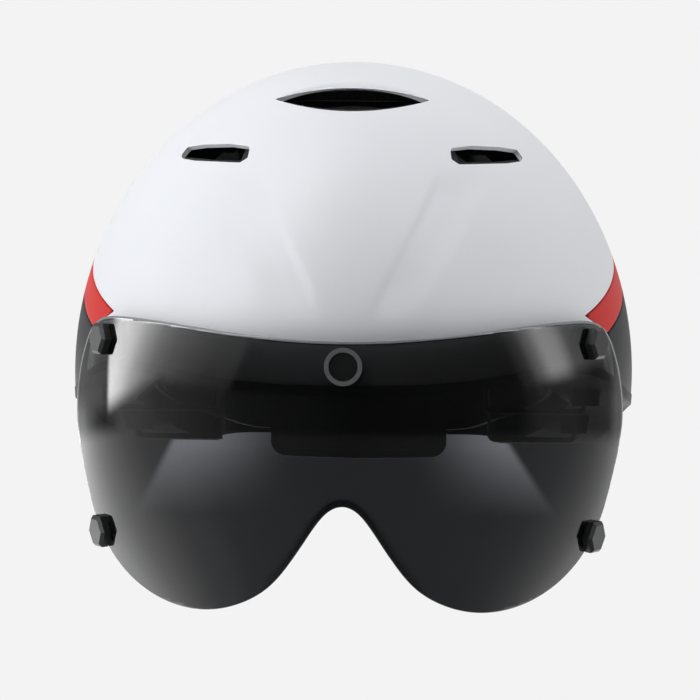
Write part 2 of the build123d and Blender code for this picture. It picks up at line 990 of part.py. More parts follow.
def dial_case():
    """Rear half of the dial case, hollow over the racks."""
    body = case_block(case_split, case_back, case_half_width, case_half_height)
    room = rack_root + rack_bar + rack_gap
    hollow = Pos(0, (case_split + case_back - case_rear_wall) / 2 - overrun / 2, 0) * Box(
        2 * (case_half_width - case_wall),
        case_back - case_rear_wall - case_split + overrun,
        2 * room,
    )
    body -= hollow
    slot_height = rack_bar + 2 * rack_gap
    slot_depth = rack_wall + 2 * rack_gap
    for side in (-1, 1):
        slot = Pos(
            side * case_half_width,
            rack_front + rack_wall / 2,
            -side * (rack_root + rack_bar / 2),
        ) * Box(2 * case_wall + overrun / 2, slot_depth, slot_height)
        body -= slot
    body -= upright(Circle(pinion_shaft_radius + shaft_gap), case_split, overrun)
    for x, z in case_screw_points():
        body -= upright(Pos(x, z) * Circle(case_screw_radius + fit_gap), case_split - overrun, 2 * overrun)
        head_room = case_screw_head + fit_gap
        body -= upright(
            Pos(x, z) * Circle(case_screw_head_radius + fit_gap),
            case_back - head_room,
            overrun,
        )
    return dial_place * body


def case_screws():
    """Four small screws that hold the case halves together."""
    screws = Part()
    front = cradle_plate_back - cradle_plate_wall
    for x, z in case_screw_points():
        shank = upright(
            Pos(x, z) * Circle(case_screw_radius),
            front + cradle_plate_wall / 2,
            case_back - case_screw_head - front - cradle_plate_wall / 2,
        )
        head = upright(
            Pos(x, z) * Circle(case_screw_head_radius),
            case_back - case_screw_head,
            case_screw_head,
        )
        screws += shank + head
    return dial_place * screws


def dial_knob():
    """Fluted knob that turns the pinion."""
    start = case_back + knob_gap
    body = upright(Circle(knob_radius), start, knob_length)
    body = fillet(body.edges().filter_by(GeomType.CIRCLE), knob_edge)
    for count in range(knob_flutes):
        angle = 2 * math.pi * count / knob_flutes
        place = Pos(knob_radius * math.cos(angle), knob_radius * math.sin(angle))
        body -= upright(place * Circle(knob_flute_radius), start - overrun, knob_length + 2 * overrun)
    shaft_room = knob_floor + fit_gap
    body -= upright(Circle(pinion_shaft_radius + fit_gap), start - overrun, shaft_room + overrun)
    body -= upright(Circle(pinion_screw_radius + fit_gap), start, knob_length)
    recess = cap_height + fit_gap
    body -= upright(Circle(cap_radius + fit_gap), start + knob_length - recess, overrun)
    head_room = recess + knob_screw_head + fit_gap
    body -= upright(Circle(knob_screw_head_radius + fit_gap), start + knob_length - head_room, overrun)
    return dial_place * body


def dial_cap():
    """Plain round cap over the knob's screw."""
    end = case_back + knob_gap + knob_length
    return dial_place * upright(Circle(cap_radius), end - cap_height, cap_height)


def dial_screw():
    """Screw that ties the knob to the pinion."""
    end = case_back + knob_gap + knob_length - cap_height - 2 * fit_gap
    head = upright(Circle(knob_screw_head_radius), end - knob_screw_head, knob_screw_head)
    shaft_end = case_back + knob_gap + knob_floor
    bottom = shaft_end - pinion_screw_depth + fit_gap
    shank = upright(Circle(pinion_screw_radius), bottom, end - knob_screw_head - bottom)
    return dial_place * (head + shank)


def guide_block(grow):
    """Outer block of the height guide in the dial's own frame."""
    return Pos(0, (guide_front + guide_back) / 2, (guide_bottom + guide_top) / 2) * Box(
        2 * (guide_half_width + grow),
        guide_back - guide_front + 2 * grow,
        guide_top - guide_bottom + 2 * grow,
    )


def guide_pocket():
    """Recess in the foam for the height guide and the holes for its screws."""
    return dial_place * (guide_block(bond_gap) + guide_screw_set(fit_gap))


def guide_screw_set(grow):
    """Two screws from the guide into the foam."""
    screws = Part()
    level = guide_top - guide_screw_z_inset
    for side in (-1, 1):
        shank = upright(
            Pos(side * guide_screw_x, level) * Circle(guide_screw_radius + grow),
            guide_front,
            guide_screw_length + grow,
        )
        screws += shank
    return screws


def guide_screws():
    """The two guide screws in place."""
    return dial_place * guide_screw_set(0.0)


def height_guide():
    """Channel that the cradle's tab slides in."""
    block = guide_block(0.0)
    room = Pos(0, tab_front + tab_wall / 2, (guide_bottom + guide_top) / 2) * Box(
        2 * (tab_half_width + guide_gap),
        tab_wall + 2 * guide_gap,
        guide_top - guide_bottom + overrun,
    )
    window = Pos(0, guide_front, (guide_bottom + guide_top) / 2) * Box(
        2 * guide_window_half_width,
        2 * (tab_front - guide_front),
        guide_top - guide_bottom - 2 * guide_screw_z_inset,
    )
    return dial_place * (block - room - window - guide_screw_set(fit_gap))


def cradle_pad(side):
    """Soft pad on one half of the cradle plate."""
    radius = cradle_plate_radius - cradle_plate_wall - cradle_pad_gap
    ring = Circle(radius) - Circle(radius - cradle_pad_wall)
    plan = Pos(0, cradle_plate_back - cradle_plate_radius) * ring
    tall = extrude(plan, amount=cradle_half_height, both=True)
    width = cradle_half_width - cradle_pad_edge - cradle_pad_inner
    face = Pos(side * (cradle_pad_inner + width / 2), 0) * RectangleRounded(
        width,
        2 * (cradle_half_height - cradle_pad_edge),
        cradle_corner,
    )
    depth = cradle_plate_radius
    return dial_place * (tall & upright(face, cradle_plate_back - depth, depth + overrun))


def temple_pad(side):
    """Soft pad on the inner face of an arm's end."""
    line = arm_line()
    end = line.length - temple_pad_inset
    start = end - temple_pad_length
    near = arm_wall / 2 + pad_gap
    far = near + temple_pad_wall
    inner = []
    outer = []
    for place in (start, (start + end) / 2, end):
        point = line.position_at(place, position_mode=PositionMode.LENGTH)
        way = line.tangent_at(place, position_mode=PositionMode.LENGTH)
        outer.append((point.X - way.Y * near, point.Y + way.X * near))
        inner.append((point.X - way.Y * far, point.Y + way.X * far))
    plan = make_face(
        [
            ThreePointArc(*outer),
            Line(outer[-1], inner[-1]),
            ThreePointArc(*reversed(inner)),
            Line(inner[0], outer[0]),
        ]
    )
    pad = Pos(0, 0, -temple_pad_half_height) * extrude(plan, amount=2 * temple_pad_half_height)
    if side > 0:
        pad = mirror(pad, about=Plane.YZ)
    return dial_place * pad


def strap_leg(side, y, bottom, run, plane_x):
    """Webbing from an anchor, under the head band and up to the divider."""
    half = webbing_wall / 2
    riser_height = bottom + anchor_grip - run + half
    riser = Pos(side * anchor_x, y, run - half + riser_height / 2) * Box(
        webbing_wall,
        webbing_width,
        riser_height,
    )
    floor_length = anchor_x - plane_x + webbing_wall
    floor = Pos(side * (anchor_x + plane_x) / 2, y, run) * Box(
        floor_length,
        webbing_width,
        webbing_wall,
    )
    top = divider_bottom + divider_grip
    edge = webbing_width / 2
    face = make_face(
        Polyline(
            (y - edge, run),
            (y + edge, run),
            (divider_y + edge, top),
            (divider_y - edge, top),
            close=True,
        )
    )
    wall = Pos(side * plane_x, 0, 0) * extrude(Plane.YZ * face, amount=half, both=True)
    return riser + floor + wall


def divider(side):
    """Slider where the two legs meet the chin strap."""
    wide = rear_strap_x - front_strap_x + webbing_wall + 2 * (webbing_gap + divider_cheek)
    middle = (front_strap_x + rear_strap_x) / 2
    body = Pos(side * middle, divider_y, divider_bottom + divider_height / 2) * Box(
        wide,
        divider_width,
        divider_height,
    )
    body = fillet(body.edges().filter_by(Axis.X), divider_cheek)
    top = divider_bottom + divider_height
    lower = divider_grip + webbing_gap
    for x in (front_strap_x, rear_strap_x):
        body -= Pos(side * x, divider_y, divider_bottom + lower / 2) * Box(
            webbing_wall + 2 * webbing_gap,
            divider_width - 2 * divider_cheek,
            lower,
        )
    body -= Pos(side * front_strap_x, divider_y, top - divider_grip_top / 2) * Box(
        webbing_wall + 2 * webbing_gap,
        webbing_width + 2 * webbing_gap,
        divider_grip_top,
    )
    return body


def chin_strap(side):
    """Chin webbing folded up under the crown, from the divider to the buckle."""
    start = divider_bottom + divider_height - divider_grip_top + webbing_gap
    points = [(front_strap_x, start)]
    points += [(x * front_strap_x, z * chin_strap_level) for x, z in chin_strap_shares]
    socket_reach = socket_length - socket_end
    plug_reach = socket_end + plug_gap + plug_body
    reach = (plug_reach if side > 0 else socket_reach) + buckle_slot - chin_strap_grip
    points.append((reach, chin_strap_level))
    place = Plane(origin=(0, divider_y, 0), x_dir=(1, 0, 0), z_dir=(0, -1, 0))
    path = place * FilletPolyline(*points, radius=chin_strap_bend)
    section = Plane(origin=path @ 0, x_dir=(0, 1, 0), z_dir=path % 0) * Rectangle(
        webbing_width,
        webbing_wall,
    )
    strap = sweep(section, path=path)
    if side < 0:
        strap = mirror(strap, about=Plane.YZ)
    return strap


def buckle_block(start, end):
    """Rounded buckle body between two X places."""
    plan = Pos((start + end) / 2, divider_y) * RectangleRounded(
        end - start,
        buckle_width,
        buckle_corner,
    )
    return Pos(0, 0, chin_strap_level - buckle_wall / 2) * extrude(plan, amount=buckle_wall)


def webbing_slot(x):
    """Slot in a buckle half that the webbing's end lies in."""
    return Pos(x, divider_y, chin_strap_level) * Box(
        2 * buckle_slot,
        webbing_width + 2 * webbing_gap,
        webbing_wall + 2 * webbing_gap,
    )


def buckle_socket():
    """Hollow half of the buckle, on the left strap."""
    start = socket_end - socket_length - buckle_slot
    body = buckle_block(start, socket_end)
    depth = plug_prong_length + 2 * plug_gap
    mouth = Pos(socket_end - depth / 2 + overrun / 4, divider_y, chin_strap_level) * Box(
        depth + overrun / 2,
        buckle_width - 2 * socket_skin,
        buckle_wall - 2 * socket_skin,
    )
    window_length = plug_prong_length / 2
    window = Pos(socket_end - window_length, divider_y, chin_strap_level) * Box(
        window_length,
        buckle_width + overrun,
        buckle_wall - 2 * socket_skin,
    )
    return body - mouth - window - webbing_slot(start)


def buckle_plug():
    """Pronged half of the buckle, on the right strap."""
    start = socket_end + plug_gap
    end = start + plug_body + buckle_slot
    body = buckle_block(start, end) - webbing_slot(end)
    prong_wall = buckle_wall - 2 * (socket_skin + plug_gap)
    for side in (-1, 1):
        y = divider_y + side * (buckle_width / 2 - plug_prong_inset - plug_prong_width / 2)
        body += Pos(start - plug_prong_length / 2 + plug_gap / 2, y, chin_strap_level) * Box(
            plug_prong_length + plug_gap,
            plug_prong_width,
            prong_wall,
        )
    body += Pos(start - plug_prong_length / 2 + plug_gap / 2, divider_y, chin_strap_level) * Box(
        plug_prong_length + plug_gap,
        plug_guide_width,
        prong_wall,
    )
    return body


def strap_keeper():
    """Rubber ring that holds the loose end of the right chin strap."""
    outer = Box(
        webbing_wall + 2 * (webbing_gap + keeper_wall),
        webbing_width + 2 * (webbing_gap + keeper_wall),
        keeper_height,
    )
    inner = Box(
        webbing_wall + 2 * webbing_gap,
        webbing_width + 2 * webbing_gap,
        keeper_height + overrun,
    )
    return Pos(front_strap_x, divider_y, keeper_level) * (outer - inner)


def shell_parts():
    """The three skins of the helmet."""
    skin = whole_skin()
    colour = colour_zone()
    return {
        "upper_shell": skin - colour,
        "accent_band": skin & accent_zone(),
        "rear_shell": skin & black_zone(-seam_gap),
    }


def helmet_parts():
    """Everything that stays with the helmet."""
    parts = shell_parts()
    parts["rim_trim"] = rim_trim()
    parts["foam_liner"] = foam_liner()
    parts["brow_pad"] = brow_pad()
    parts["pad_hook_patches"] = pad_patches(patch_radius, patch_depth, -patch_gap)
    parts["brow_magnet_seat"] = brow_seat()
    parts["brow_magnet"] = brow_magnet()
    parts["height_guide"] = height_guide()
    parts["height_guide_screws"] = guide_screws()
    for side, word in ((-1, "left"), (1, "right")):
        parts["side_pad_" + word] = side_pad(side)
        parts["crown_pad_" + word] = crown_pad(side)
        parts["temple_seat_" + word] = temple_seat(side * upper_stud_x, upper_stud_z)
        parts["temple_keeper_" + word] = temple_keeper(side * upper_stud_x, upper_stud_z)
    return parts


def strap_parts():
    """Straps, dividers and buckle."""
    parts = {}
    for end, word, side, y, bottom in anchor_places():
        parts[end + "_strap_anchor_" + word] = strap_anchor(side, y, bottom)
        run = front_strap_run if end == "front" else rear_strap_run
        plane_x = front_strap_x if end == "front" else rear_strap_x
        parts[end + "_strap_" + word] = strap_leg(side, y, bottom, run, plane_x)
    for side, word in ((-1, "left"), (1, "right")):
        parts["strap_divider_" + word] = divider(side)
        parts["chin_strap_" + word] = chin_strap(side)
    parts["buckle_socket"] = buckle_socket()
    parts["buckle_plug"] = buckle_plug()
    parts["strap_keeper"] = strap_keeper()
    return parts


def visor_parts():
    """Everything that comes away with the visor."""
    parts = {
        "visor_lens": visor_lens(),
        "centre_magnet_cup": centre_cup(),
        "centre_magnet": centre_magnet(),
    }
    for level, word, x, z in stud_places():
        parts[level + "_stud_" + word] = corner_stud(x, z)
        parts[level + "_stud_magnet_" + word] = ring_magnet(x, z)
    return parts


def cradle_parts():
    """Head cradle with its dial and arms."""
    parts = {
        "head_cradle": cradle(),
        "dial_case": dial_case(),
        "dial_case_screws": case_screws(),
        "dial_pinion": dial_pinion(),
        "dial_knob": dial_knob(),
        "dial_cap": dial_cap(),
        "dial_screw": dial_screw(),
    }
    for side, word in ((-1, "left"), (1, "right")):
        parts["cradle_arm_" + word] = cradle_arm(side)
        parts["cradle_pad_" + word] = cradle_pad(side)
        parts["temple_pad_" + word] = temple_pad(side)
    return parts


def main():
    """Build every part and write it under its own name."""
    os.makedirs("parts", exist_ok=True)
    groups = (helmet_parts, strap_parts, visor_parts, cradle_parts)
    for group in groups:
        for name, shape in group().items():
            shape.label = name
            export_step(shape, "parts/" + name + ".step")


main()
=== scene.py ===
import json
import math
from functools import partial

import bmesh
import bpy
import numpy as np
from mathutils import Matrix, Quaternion, Vector


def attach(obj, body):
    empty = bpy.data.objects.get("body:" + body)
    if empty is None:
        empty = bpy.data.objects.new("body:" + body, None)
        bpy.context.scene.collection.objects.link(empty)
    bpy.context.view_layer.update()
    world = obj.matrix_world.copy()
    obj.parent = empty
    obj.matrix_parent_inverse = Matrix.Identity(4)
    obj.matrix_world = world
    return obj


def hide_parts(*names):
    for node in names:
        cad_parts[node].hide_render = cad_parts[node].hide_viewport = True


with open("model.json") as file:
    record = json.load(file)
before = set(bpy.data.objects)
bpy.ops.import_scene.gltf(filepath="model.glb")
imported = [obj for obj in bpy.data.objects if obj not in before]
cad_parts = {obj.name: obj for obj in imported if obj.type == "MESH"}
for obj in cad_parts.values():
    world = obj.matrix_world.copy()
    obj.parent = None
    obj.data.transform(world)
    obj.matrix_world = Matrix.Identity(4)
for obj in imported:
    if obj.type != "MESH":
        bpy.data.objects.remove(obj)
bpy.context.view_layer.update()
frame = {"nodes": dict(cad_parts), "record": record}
nodes = frame["nodes"]
scene = bpy.context.scene
mm = 0.001
tiny = 1e-12
sideWords = ((-1, "left"), (1, "right"))
print("frame loaded:", len(nodes), "nodes")

view = {
    "azimuth": 1.5,
    "elevation": 4.0,
    "roll": 0.5,
    "distance": 1.2,
    "lens": 161.1,
    "clip": (0.05, 30),
    "pixelsPerRadian": 3133.0,
    "originRight": 4.0,
    "originDown": 20.0,
}


def addAimed(name, data, place, aim):
    # a camera or lamp that looks from one place to another
    item = bpy.data.objects.new(name, data)
    scene.collection.objects.link(item)
    item.location = place
    item.rotation_mode = "QUATERNION"
    item.rotation_quaternion = (Vector(aim) - Vector(place)).to_track_quat("-Z", "Y")
    return item


def makeCamera():
    azimuth, elevation = math.radians(view["azimuth"]), math.radians(view["elevation"])
    flat = math.cos(elevation)
    away = Vector((math.sin(azimuth) * flat, -math.cos(azimuth) * flat, math.sin(elevation)))
    right = Vector((math.cos(azimuth), math.sin(azimuth), 0))
    step = view["distance"] / view["pixelsPerRadian"]
    aim = right.cross(-away) * view["originDown"] * step - right * view["originRight"] * step
    data = bpy.data.cameras.new("photoCamera")
    data.lens = view["lens"]
    data.clip_start, data.clip_end = view["clip"]
    camera = addAimed("photoCamera", data, away * view["distance"], aim)
    roll = Quaternion((0, 0, 1), math.radians(view["roll"]))
    camera.rotation_quaternion = camera.rotation_quaternion @ roll
    scene.camera = camera


def hexColour(text, share=1.0):
    # sRGB hex to the linear colour that shaders take, made paler or darker by a share
    parts = [int(text[i : i + 2], 16) / 255 for i in (1, 3, 5)]
    linear = [p / 12.92 if p <= 0.04045 else ((p + 0.055) / 1.055) ** 2.4 for p in parts]
    return tuple(min(1, p * share) for p in linear) + (1.0,)


def setInputs(node, inputs):
    # an input takes a value, another node's output, or a node for its first output
    for name, value in inputs.items():
        if isinstance(value, bpy.types.Node):
            value = value.outputs[0]
        if isinstance(value, bpy.types.NodeSocket):
            node.id_data.links.new(value, node.inputs[name])
        else:
            node.inputs[name].default_value = value


def addNode(tree, kind, inputs=None, **settings):
    node = tree.nodes.new(kind)
    for name, value in settings.items():
        setattr(node, name, value)
    setInputs(node, inputs or {})
    return node


def startTree(owner):
    # clears the node tree of a new material or world, and returns what adds nodes to it
    owner.use_nodes = True
    owner.node_tree.nodes.clear()
    return partial(addNode, owner.node_tree)


def startMaterial(name, values):
    material = bpy.data.materials.new(name)
    add = startTree(material)
    shader = add("ShaderNodeBsdfPrincipled", values)
    add("ShaderNodeOutputMaterial", {"Surface": shader})
    return material, add, shader, add("ShaderNodeTexCoord").outputs["Object"]


def vary(add, shader, source, hexText, shades, gloss, span=(0.3, 0.7)):
    # carries a pattern's value to the colour's shade and to the gloss
    low, high = (hexColour(hexText, shade) for shade in shades)
    share = add("ShaderNodeMapRange", {"Value": source, "From Min": span[0], "From Max": span[1]})
    mixed = add("ShaderNodeMix", {0: share, 6: low, 7: high}, data_type="RGBA")
    rough = add("ShaderNodeMapRange", {"Value": share, "To Min": gloss[0], "To Max": gloss[1]})
    setInputs(shader, {"Base Color": mixed.outputs[2], "Roughness": rough})


def relief(add, shader, height, strength, depth, edge):
    # bump from a pattern, over edges that the shading rounds off
    bevel = add("ShaderNodeBevel", {"Radius": edge * mm}, samples=4)
    values = {"Strength": strength, "Distance": depth * mm, "Height": height, "Normal": bevel}
    bump = add("ShaderNodeBump", values)
    setInputs(shader, {"Normal": bump})
    return bump


def meshObject(name, points, faces, sharpAngle=40.0, outward=False):
    mesh = bpy.data.meshes.new(name)
    mesh.from_pydata(np.asarray(points, float).tolist(), [], [list(map(int, f)) for f in faces])
    mesh.validate()
    if outward:
        work = bmesh.new()
        work.from_mesh(mesh)
        bmesh.ops.recalc_face_normals(work, faces=work.faces)
        work.to_mesh(mesh)
        work.free()
    mesh.polygons.foreach_set("use_smooth", [True] * len(mesh.polygons))
    mesh.set_sharp_from_angle(angle=math.radians(sharpAngle))
    piece = bpy.data.objects.new(name, mesh)
    scene.collection.objects.link(piece)
    return piece


def finishPiece(piece, material, body, slot, replaced=()):
    piece.data.materials.clear()
    piece.data.materials.append(material)
    if replaced:
        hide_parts(*replaced)
    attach(piece, body)


def makePiece(node, ending, points, faces, body, slot, **looks):
    # a shaped piece that stands in for a plain solid
    piece = meshObject(node + ending, points * mm, faces, **looks)
    finishPiece(piece, finishes[slot], body, slot, [node])
    return piece


def splitQuads(a, b, c, d):
    return np.concatenate([np.stack(corners, -1).reshape(-1, 3) for corners in ((a, b, c), (a, c, d))])


def gridTriangles(rows, columns):
    i, j = np.meshgrid(np.arange(rows - 1), np.arange(columns - 1), indexing="ij")
    p, q = i * columns + j, (i + 1) * columns + j
    return splitQuads(p, q, q + 1, p + 1)


def tubeFaces(count, sides):
    # quads between rings of points, and a face over each end
    faces = []
    for i in range(count - 1):
        for k in range(sides):
            n = (k + 1) % sides
            faces.append((i * sides + k, i * sides + n, (i + 1) * sides + n, (i + 1) * sides + k))
    return faces + [tuple(range(sides - 1, -1, -1)), tuple((count - 1) * sides + k for k in range(sides))]


def triangleEdges(tris):
    return np.concatenate((tris[:, [0, 1]], tris[:, [1, 2]], tris[:, [2, 0]]))


def borderEdges(tris):
    edges = triangleEdges(tris)
    _, first, counts = np.unique(np.sort(edges, axis=1), axis=0, return_index=True, return_counts=True)
    return edges[first[counts == 1]]


def unit(vectors):
    return vectors / np.maximum(np.linalg.norm(vectors, axis=1, keepdims=True), tiny)


def blendStep(x, low, high):
    t = np.clip((x - low) / (high - low), 0, 1)
    return t * t * (3 - 2 * t)


def runLengths(points):
    # distance along a line to each of its points
    return np.concatenate(([0.0], np.cumsum(np.linalg.norm(np.diff(points, axis=0), axis=1))))


def smoothCurve(points, samples):
    # natural cubic curve through points, by chord length
    points = np.array(points, float)
    knots = runLengths(points)
    count = len(points)
    left = np.zeros((count, count))
    right = np.zeros((count, points.shape[1]))
    left[0, 0] = left[-1, -1] = 1
    for i in range(1, count - 1):
        before, after = knots[i] - knots[i - 1], knots[i + 1] - knots[i]
        left[i, i - 1 : i + 2] = before / 6, (before + after) / 3, after / 6
        right[i] = (points[i + 1] - points[i]) / after - (points[i] - points[i - 1]) / before
    bend = np.linalg.solve(left, right)
    place = np.linspace(0, knots[-1], samples)
    k = np.clip(np.searchsorted(knots, place) - 1, 0, count - 2)
    gap = knots[k + 1] - knots[k]
    a = ((knots[k + 1] - place) / gap)[:, None]
    b = 1 - a
    cubic = ((a**3 - a) * bend[k] + (b**3 - b) * bend[k + 1]) * (gap**2 / 6)[:, None]
    return a * points[k] + b * points[k + 1] + cubic


def roundCorners(points, radius, steps=5, closed=True):
    points = np.asarray(points, float)
    made = [] if closed else [points[0]]
    for i in range(0 if closed else 1, len(points) if closed else len(points) - 1):
        before, at, after = points[i - 1], points[i], points[(i + 1) % len(points)]
        one, two = before - at, after - at
        one, two = one / np.linalg.norm(one), two / np.linalg.norm(two)
        half = math.acos(np.clip(one @ two, -1, 1)) / 2
        reach = radius / math.tan(half)
        start, end = at + one * reach, at + two * reach
        centre = at + (one + two) / np.linalg.norm(one + two) * radius / math.sin(half)
        for k in range(steps + 1):
            spot = start + (end - start) * k / steps - centre
            made.append(centre + spot / np.linalg.norm(spot) * radius)
    return np.array(made if closed else made + [points[-1]])


def insideDistance(outline, x, y):
    # distance to a closed outline, positive inside it
    outline = np.asarray(outline, float)
    best = np.full(len(x), np.inf)
    inside = np.zeros(len(x), bool)
    for (ax, ay), (bx, by) in zip(outline, np.roll(outline, -1, axis=0)):
        dx, dy = bx - ax, by - ay
        length = dx * dx + dy * dy
        if length < tiny:
            continue
        t = np.clip(((x - ax) * dx + (y - ay) * dy) / length, 0, 1)
        best = np.minimum(best, (x - ax - t * dx) ** 2 + (y - ay - t * dy) ** 2)
        if dy:
            crosses = (ay > y) != (by > y)
            inside ^= crosses & (x < dx * (y - ay) / dy + ax)
    return np.where(inside, 1, -1) * np.sqrt(best)


class Surface:
    # a triangle mesh over a smooth surface that can be trimmed along curves drawn on it
    margin = 1e-4
    closings = 5

    def __init__(self, params, triangles, place):
        self.params, self.triangles, self.place = params, triangles, place

    def trim(self, field):
        value = field(self.place(self.params))
        value = np.where(np.abs(value) < self.margin, self.margin, value)
        keep = value > 0
        kept = keep[self.triangles].sum(1)
        whole = self.triangles[kept == 3]
        cut = self.triangles[(kept == 1) | (kept == 2)]
        edges = np.sort(triangleEdges(cut), axis=1)
        edges = np.unique(edges[keep[edges[:, 0]] != keep[edges[:, 1]]], axis=0)
        if len(edges) == 0:
            return self
        a, b = self.params[edges[:, 0]], self.params[edges[:, 1]]
        lowValue, highValue = value[edges[:, 0]], value[edges[:, 1]]
        first = np.sign(lowValue)
        low, high = np.zeros(len(a)), np.ones(len(a))
        for _ in range(self.closings):
            t = low + (high - low) * lowValue / (lowValue - highValue)
            t = np.clip(t, low + self.margin, high - self.margin)
            found = field(self.place(a + (b - a) * t[:, None]))
            same = np.sign(found) == first
            low, lowValue = np.where(same, t, low), np.where(same, found, lowValue)
            high, highValue = np.where(same, high, t), np.where(same, highValue, found)
        t = low + (high - low) * lowValue / (lowValue - highValue)
        start = len(self.params)
        params = np.concatenate((self.params, a + (b - a) * t[:, None]))
        lookup = {(int(p), int(q)): start + i for i, (p, q) in enumerate(edges)}
        made = []
        for tri in cut:
            ring = []
            for p, q in zip(tri.tolist(), np.roll(tri, -1).tolist()):
                if keep[p]:
                    ring.append(p)
                if keep[p] != keep[q]:
                    ring.append(lookup[(min(p, q), max(p, q))])
            made += [(ring[0], ring[i], ring[i + 1]) for i in range(1, len(ring) - 1)]
        triangles = np.concatenate((whole, np.array(made, int).reshape(-1, 3)))
        used, back = np.unique(triangles, return_inverse=True)
        return Surface(params[used], back.reshape(-1, 3), self.place)


def closedPanel(surface, normalAt, wall, radius, wallWay=None, innerAt=None, rings=3, mitre=1.4):
    # outer skin, rounded edge, wall and inner skin as one closed mesh
    points = surface.place(surface.params)
    normals = normalAt(points)
    tris = surface.triangles
    border = borderEdges(tris)
    way = unit(points[border[:, 1]] - points[border[:, 0]])
    aside = unit(np.cross(way, normals[border[:, 0]] + normals[border[:, 1]]))
    out = np.zeros_like(points)
    for k in (0, 1):
        np.add.at(out, border[:, k], aside)
    rim = np.unique(border)
    size = np.maximum(np.linalg.norm(out[rim], axis=1, keepdims=True), tiny)
    outward = out[rim] / size * np.clip(2 / size, 1, mitre)
    inner = innerAt(points) if innerAt else points - normals * wall
    down, length = -normals[rim], np.full(len(rim), wall)
    if wallWay:
        down, length = wallWay(points[rim], normals[rim])
    layers = []
    for k in range(1, rings + 1):
        angle = math.pi / 2 * k / rings
        swung = outward * radius * math.sin(angle)
        layers.append(points[rim] + swung + down * radius * (1 - math.cos(angle)))
    layers.append(points[rim] + outward * radius + down * np.maximum(length, radius)[:, None])
    count = len(points)
    index = np.full(count, -1)
    index[rim] = np.arange(len(rim))
    # the ends of each border edge on the outer skin, on each layer of the rim and on the inner skin
    middle = [2 * count + k * len(rim) + index[border] for k in range(len(layers))]
    chain = [border] + middle + [border + count]
    faces = tris.tolist() + (tris[:, ::-1] + count).tolist()
    for upper, lower in zip(chain, chain[1:]):
        faces += np.column_stack((upper[:, ::-1], lower)).tolist()
    return np.concatenate([points, inner] + layers), faces


def paintedFilm(name, hexText, roughness, shine=0.5):
    # polycarbonate film moulded over foam: even colour, soft gloss, faint orange peel
    material, add, shader, place = startMaterial(name, {"IOR": 1.5, "Specular IOR Level": shine})
    peel = add("ShaderNodeTexNoise", {"Scale": 1 / (5 * mm), "Detail": 2.0, "Vector": place})
    cloud = add("ShaderNodeTexNoise", {"Scale": 1 / (45 * mm), "Detail": 3.0, "Vector": place})
    vary(add, shader, cloud, hexText, (0.985, 1.0), (roughness - 0.03, roughness + 0.03))
    relief(add, shader, peel, 0.04, 0.2, 0.1)
    return material


def mouldedPlastic(name, hexText, roughness, grain=0.5, strength=0.15, shine=0.5):
    # injection moulded nylon or vinyl: fine spark texture that breaks the gloss, a little paler in soft
    # patches
    material, add, shader, place = startMaterial(name, {"IOR": 1.53, "Specular IOR Level": shine})
    fine = add("ShaderNodeTexNoise", {"Scale": 1 / (grain * mm), "Detail": 3.0, "Vector": place})
    cloud = add("ShaderNodeTexNoise", {"Scale": 1 / (14 * mm), "Detail": 3.0, "Vector": place})
    vary(add, shader, cloud, hexText, (1.0, 1.25), (roughness - 0.05, roughness + 0.05))
    relief(add, shader, fine, strength, 0.1, 0.3)
    return material


def metal(name, hexText, roughness, grain=0.35, bare=1.0):
    # steel or plated alloy: fine brushed variation in the gloss
    material, add, shader, place = startMaterial(name, {"Metallic": bare})
    stretch = add("ShaderNodeMapping", {"Scale": (1.0, 1.0, 8.0), "Vector": place})
    size = {"Scale": 1 / (grain * 4 * mm), "Detail": 4.0, "Vector": stretch}
    brushed = add("ShaderNodeTexNoise", size)
    vary(add, shader, brushed, hexText, (0.8, 1.0), (roughness - 0.06, roughness + 0.08))
    relief(add, shader, brushed, 0.05, 0.05, 0.15)
    return material


def beadFoam(name, hexText):
    # expanded foam: round beads 3 mm across pressed together, with dark joints
    material, add, shader, place = startMaterial(name, {"IOR": 1.45})
    size = {"Scale": 1 / (3.0 * mm), "Randomness": 0.9, "Vector": place}
    edge = add("ShaderNodeTexVoronoi", size, feature="DISTANCE_TO_EDGE")
    vary(add, shader, edge, hexText, (0.45, 1.5), (0.5, 0.7), (0.0, 0.22))
    relief(add, shader, edge, 0.55, 0.5, 0.8)
    return material


def fabric(name, hexText, thread=0.6, fuzz=0.5):
    # knitted polyester over foam: rows of loops, soft sheen
    material, add, shader, place = startMaterial(name, {"Sheen Weight": fuzz, "Sheen Roughness": 0.45})
    size = {"Scale": 1 / (thread * 2 * mm), "Randomness": 0.25, "Vector": place}
    loops = add("ShaderNodeTexVoronoi", size)
    cloud = add("ShaderNodeTexNoise", {"Scale": 1 / (9 * mm), "Detail": 4.0, "Vector": place})
    mixed = add("ShaderNodeMath", {0: loops, 1: cloud}, operation="MULTIPLY")
    vary(add, shader, mixed, hexText, (1.1, 0.5), (0.85, 0.95), (0.05, 0.35))
    relief(add, shader, loops, 0.6, 0.3, 0.3).invert = True
    return material


def wovenBand(name, hexText, pitches=(0.8, 1.0)):
    # nylon webbing: a plain weave of ribs, drawn on the band's own length and width
    material, add, shader, _ = startMaterial(name, {"Sheen Weight": 0.25, "Sheen Roughness": 0.4})
    flat = add("ShaderNodeUVMap", uv_map="band")
    split = add("ShaderNodeSeparateXYZ", {"Vector": flat})
    waves = {}
    for k, pitch in enumerate(pitches):
        turns = {0: split.outputs[k], 1: math.pi / (pitch * mm)}
        turned = add("ShaderNodeMath", turns, operation="MULTIPLY")
        waves[k] = add("ShaderNodeMath", {0: turned}, operation="SINE")
    weave = add("ShaderNodeMath", waves, operation="MULTIPLY")
    vary(add, shader, weave, hexText, (0.6, 1.3), (0.75, 0.6), (-0.8, 0.8))
    relief(add, shader, weave, 0.5, 0.18, 0.2)
    return material


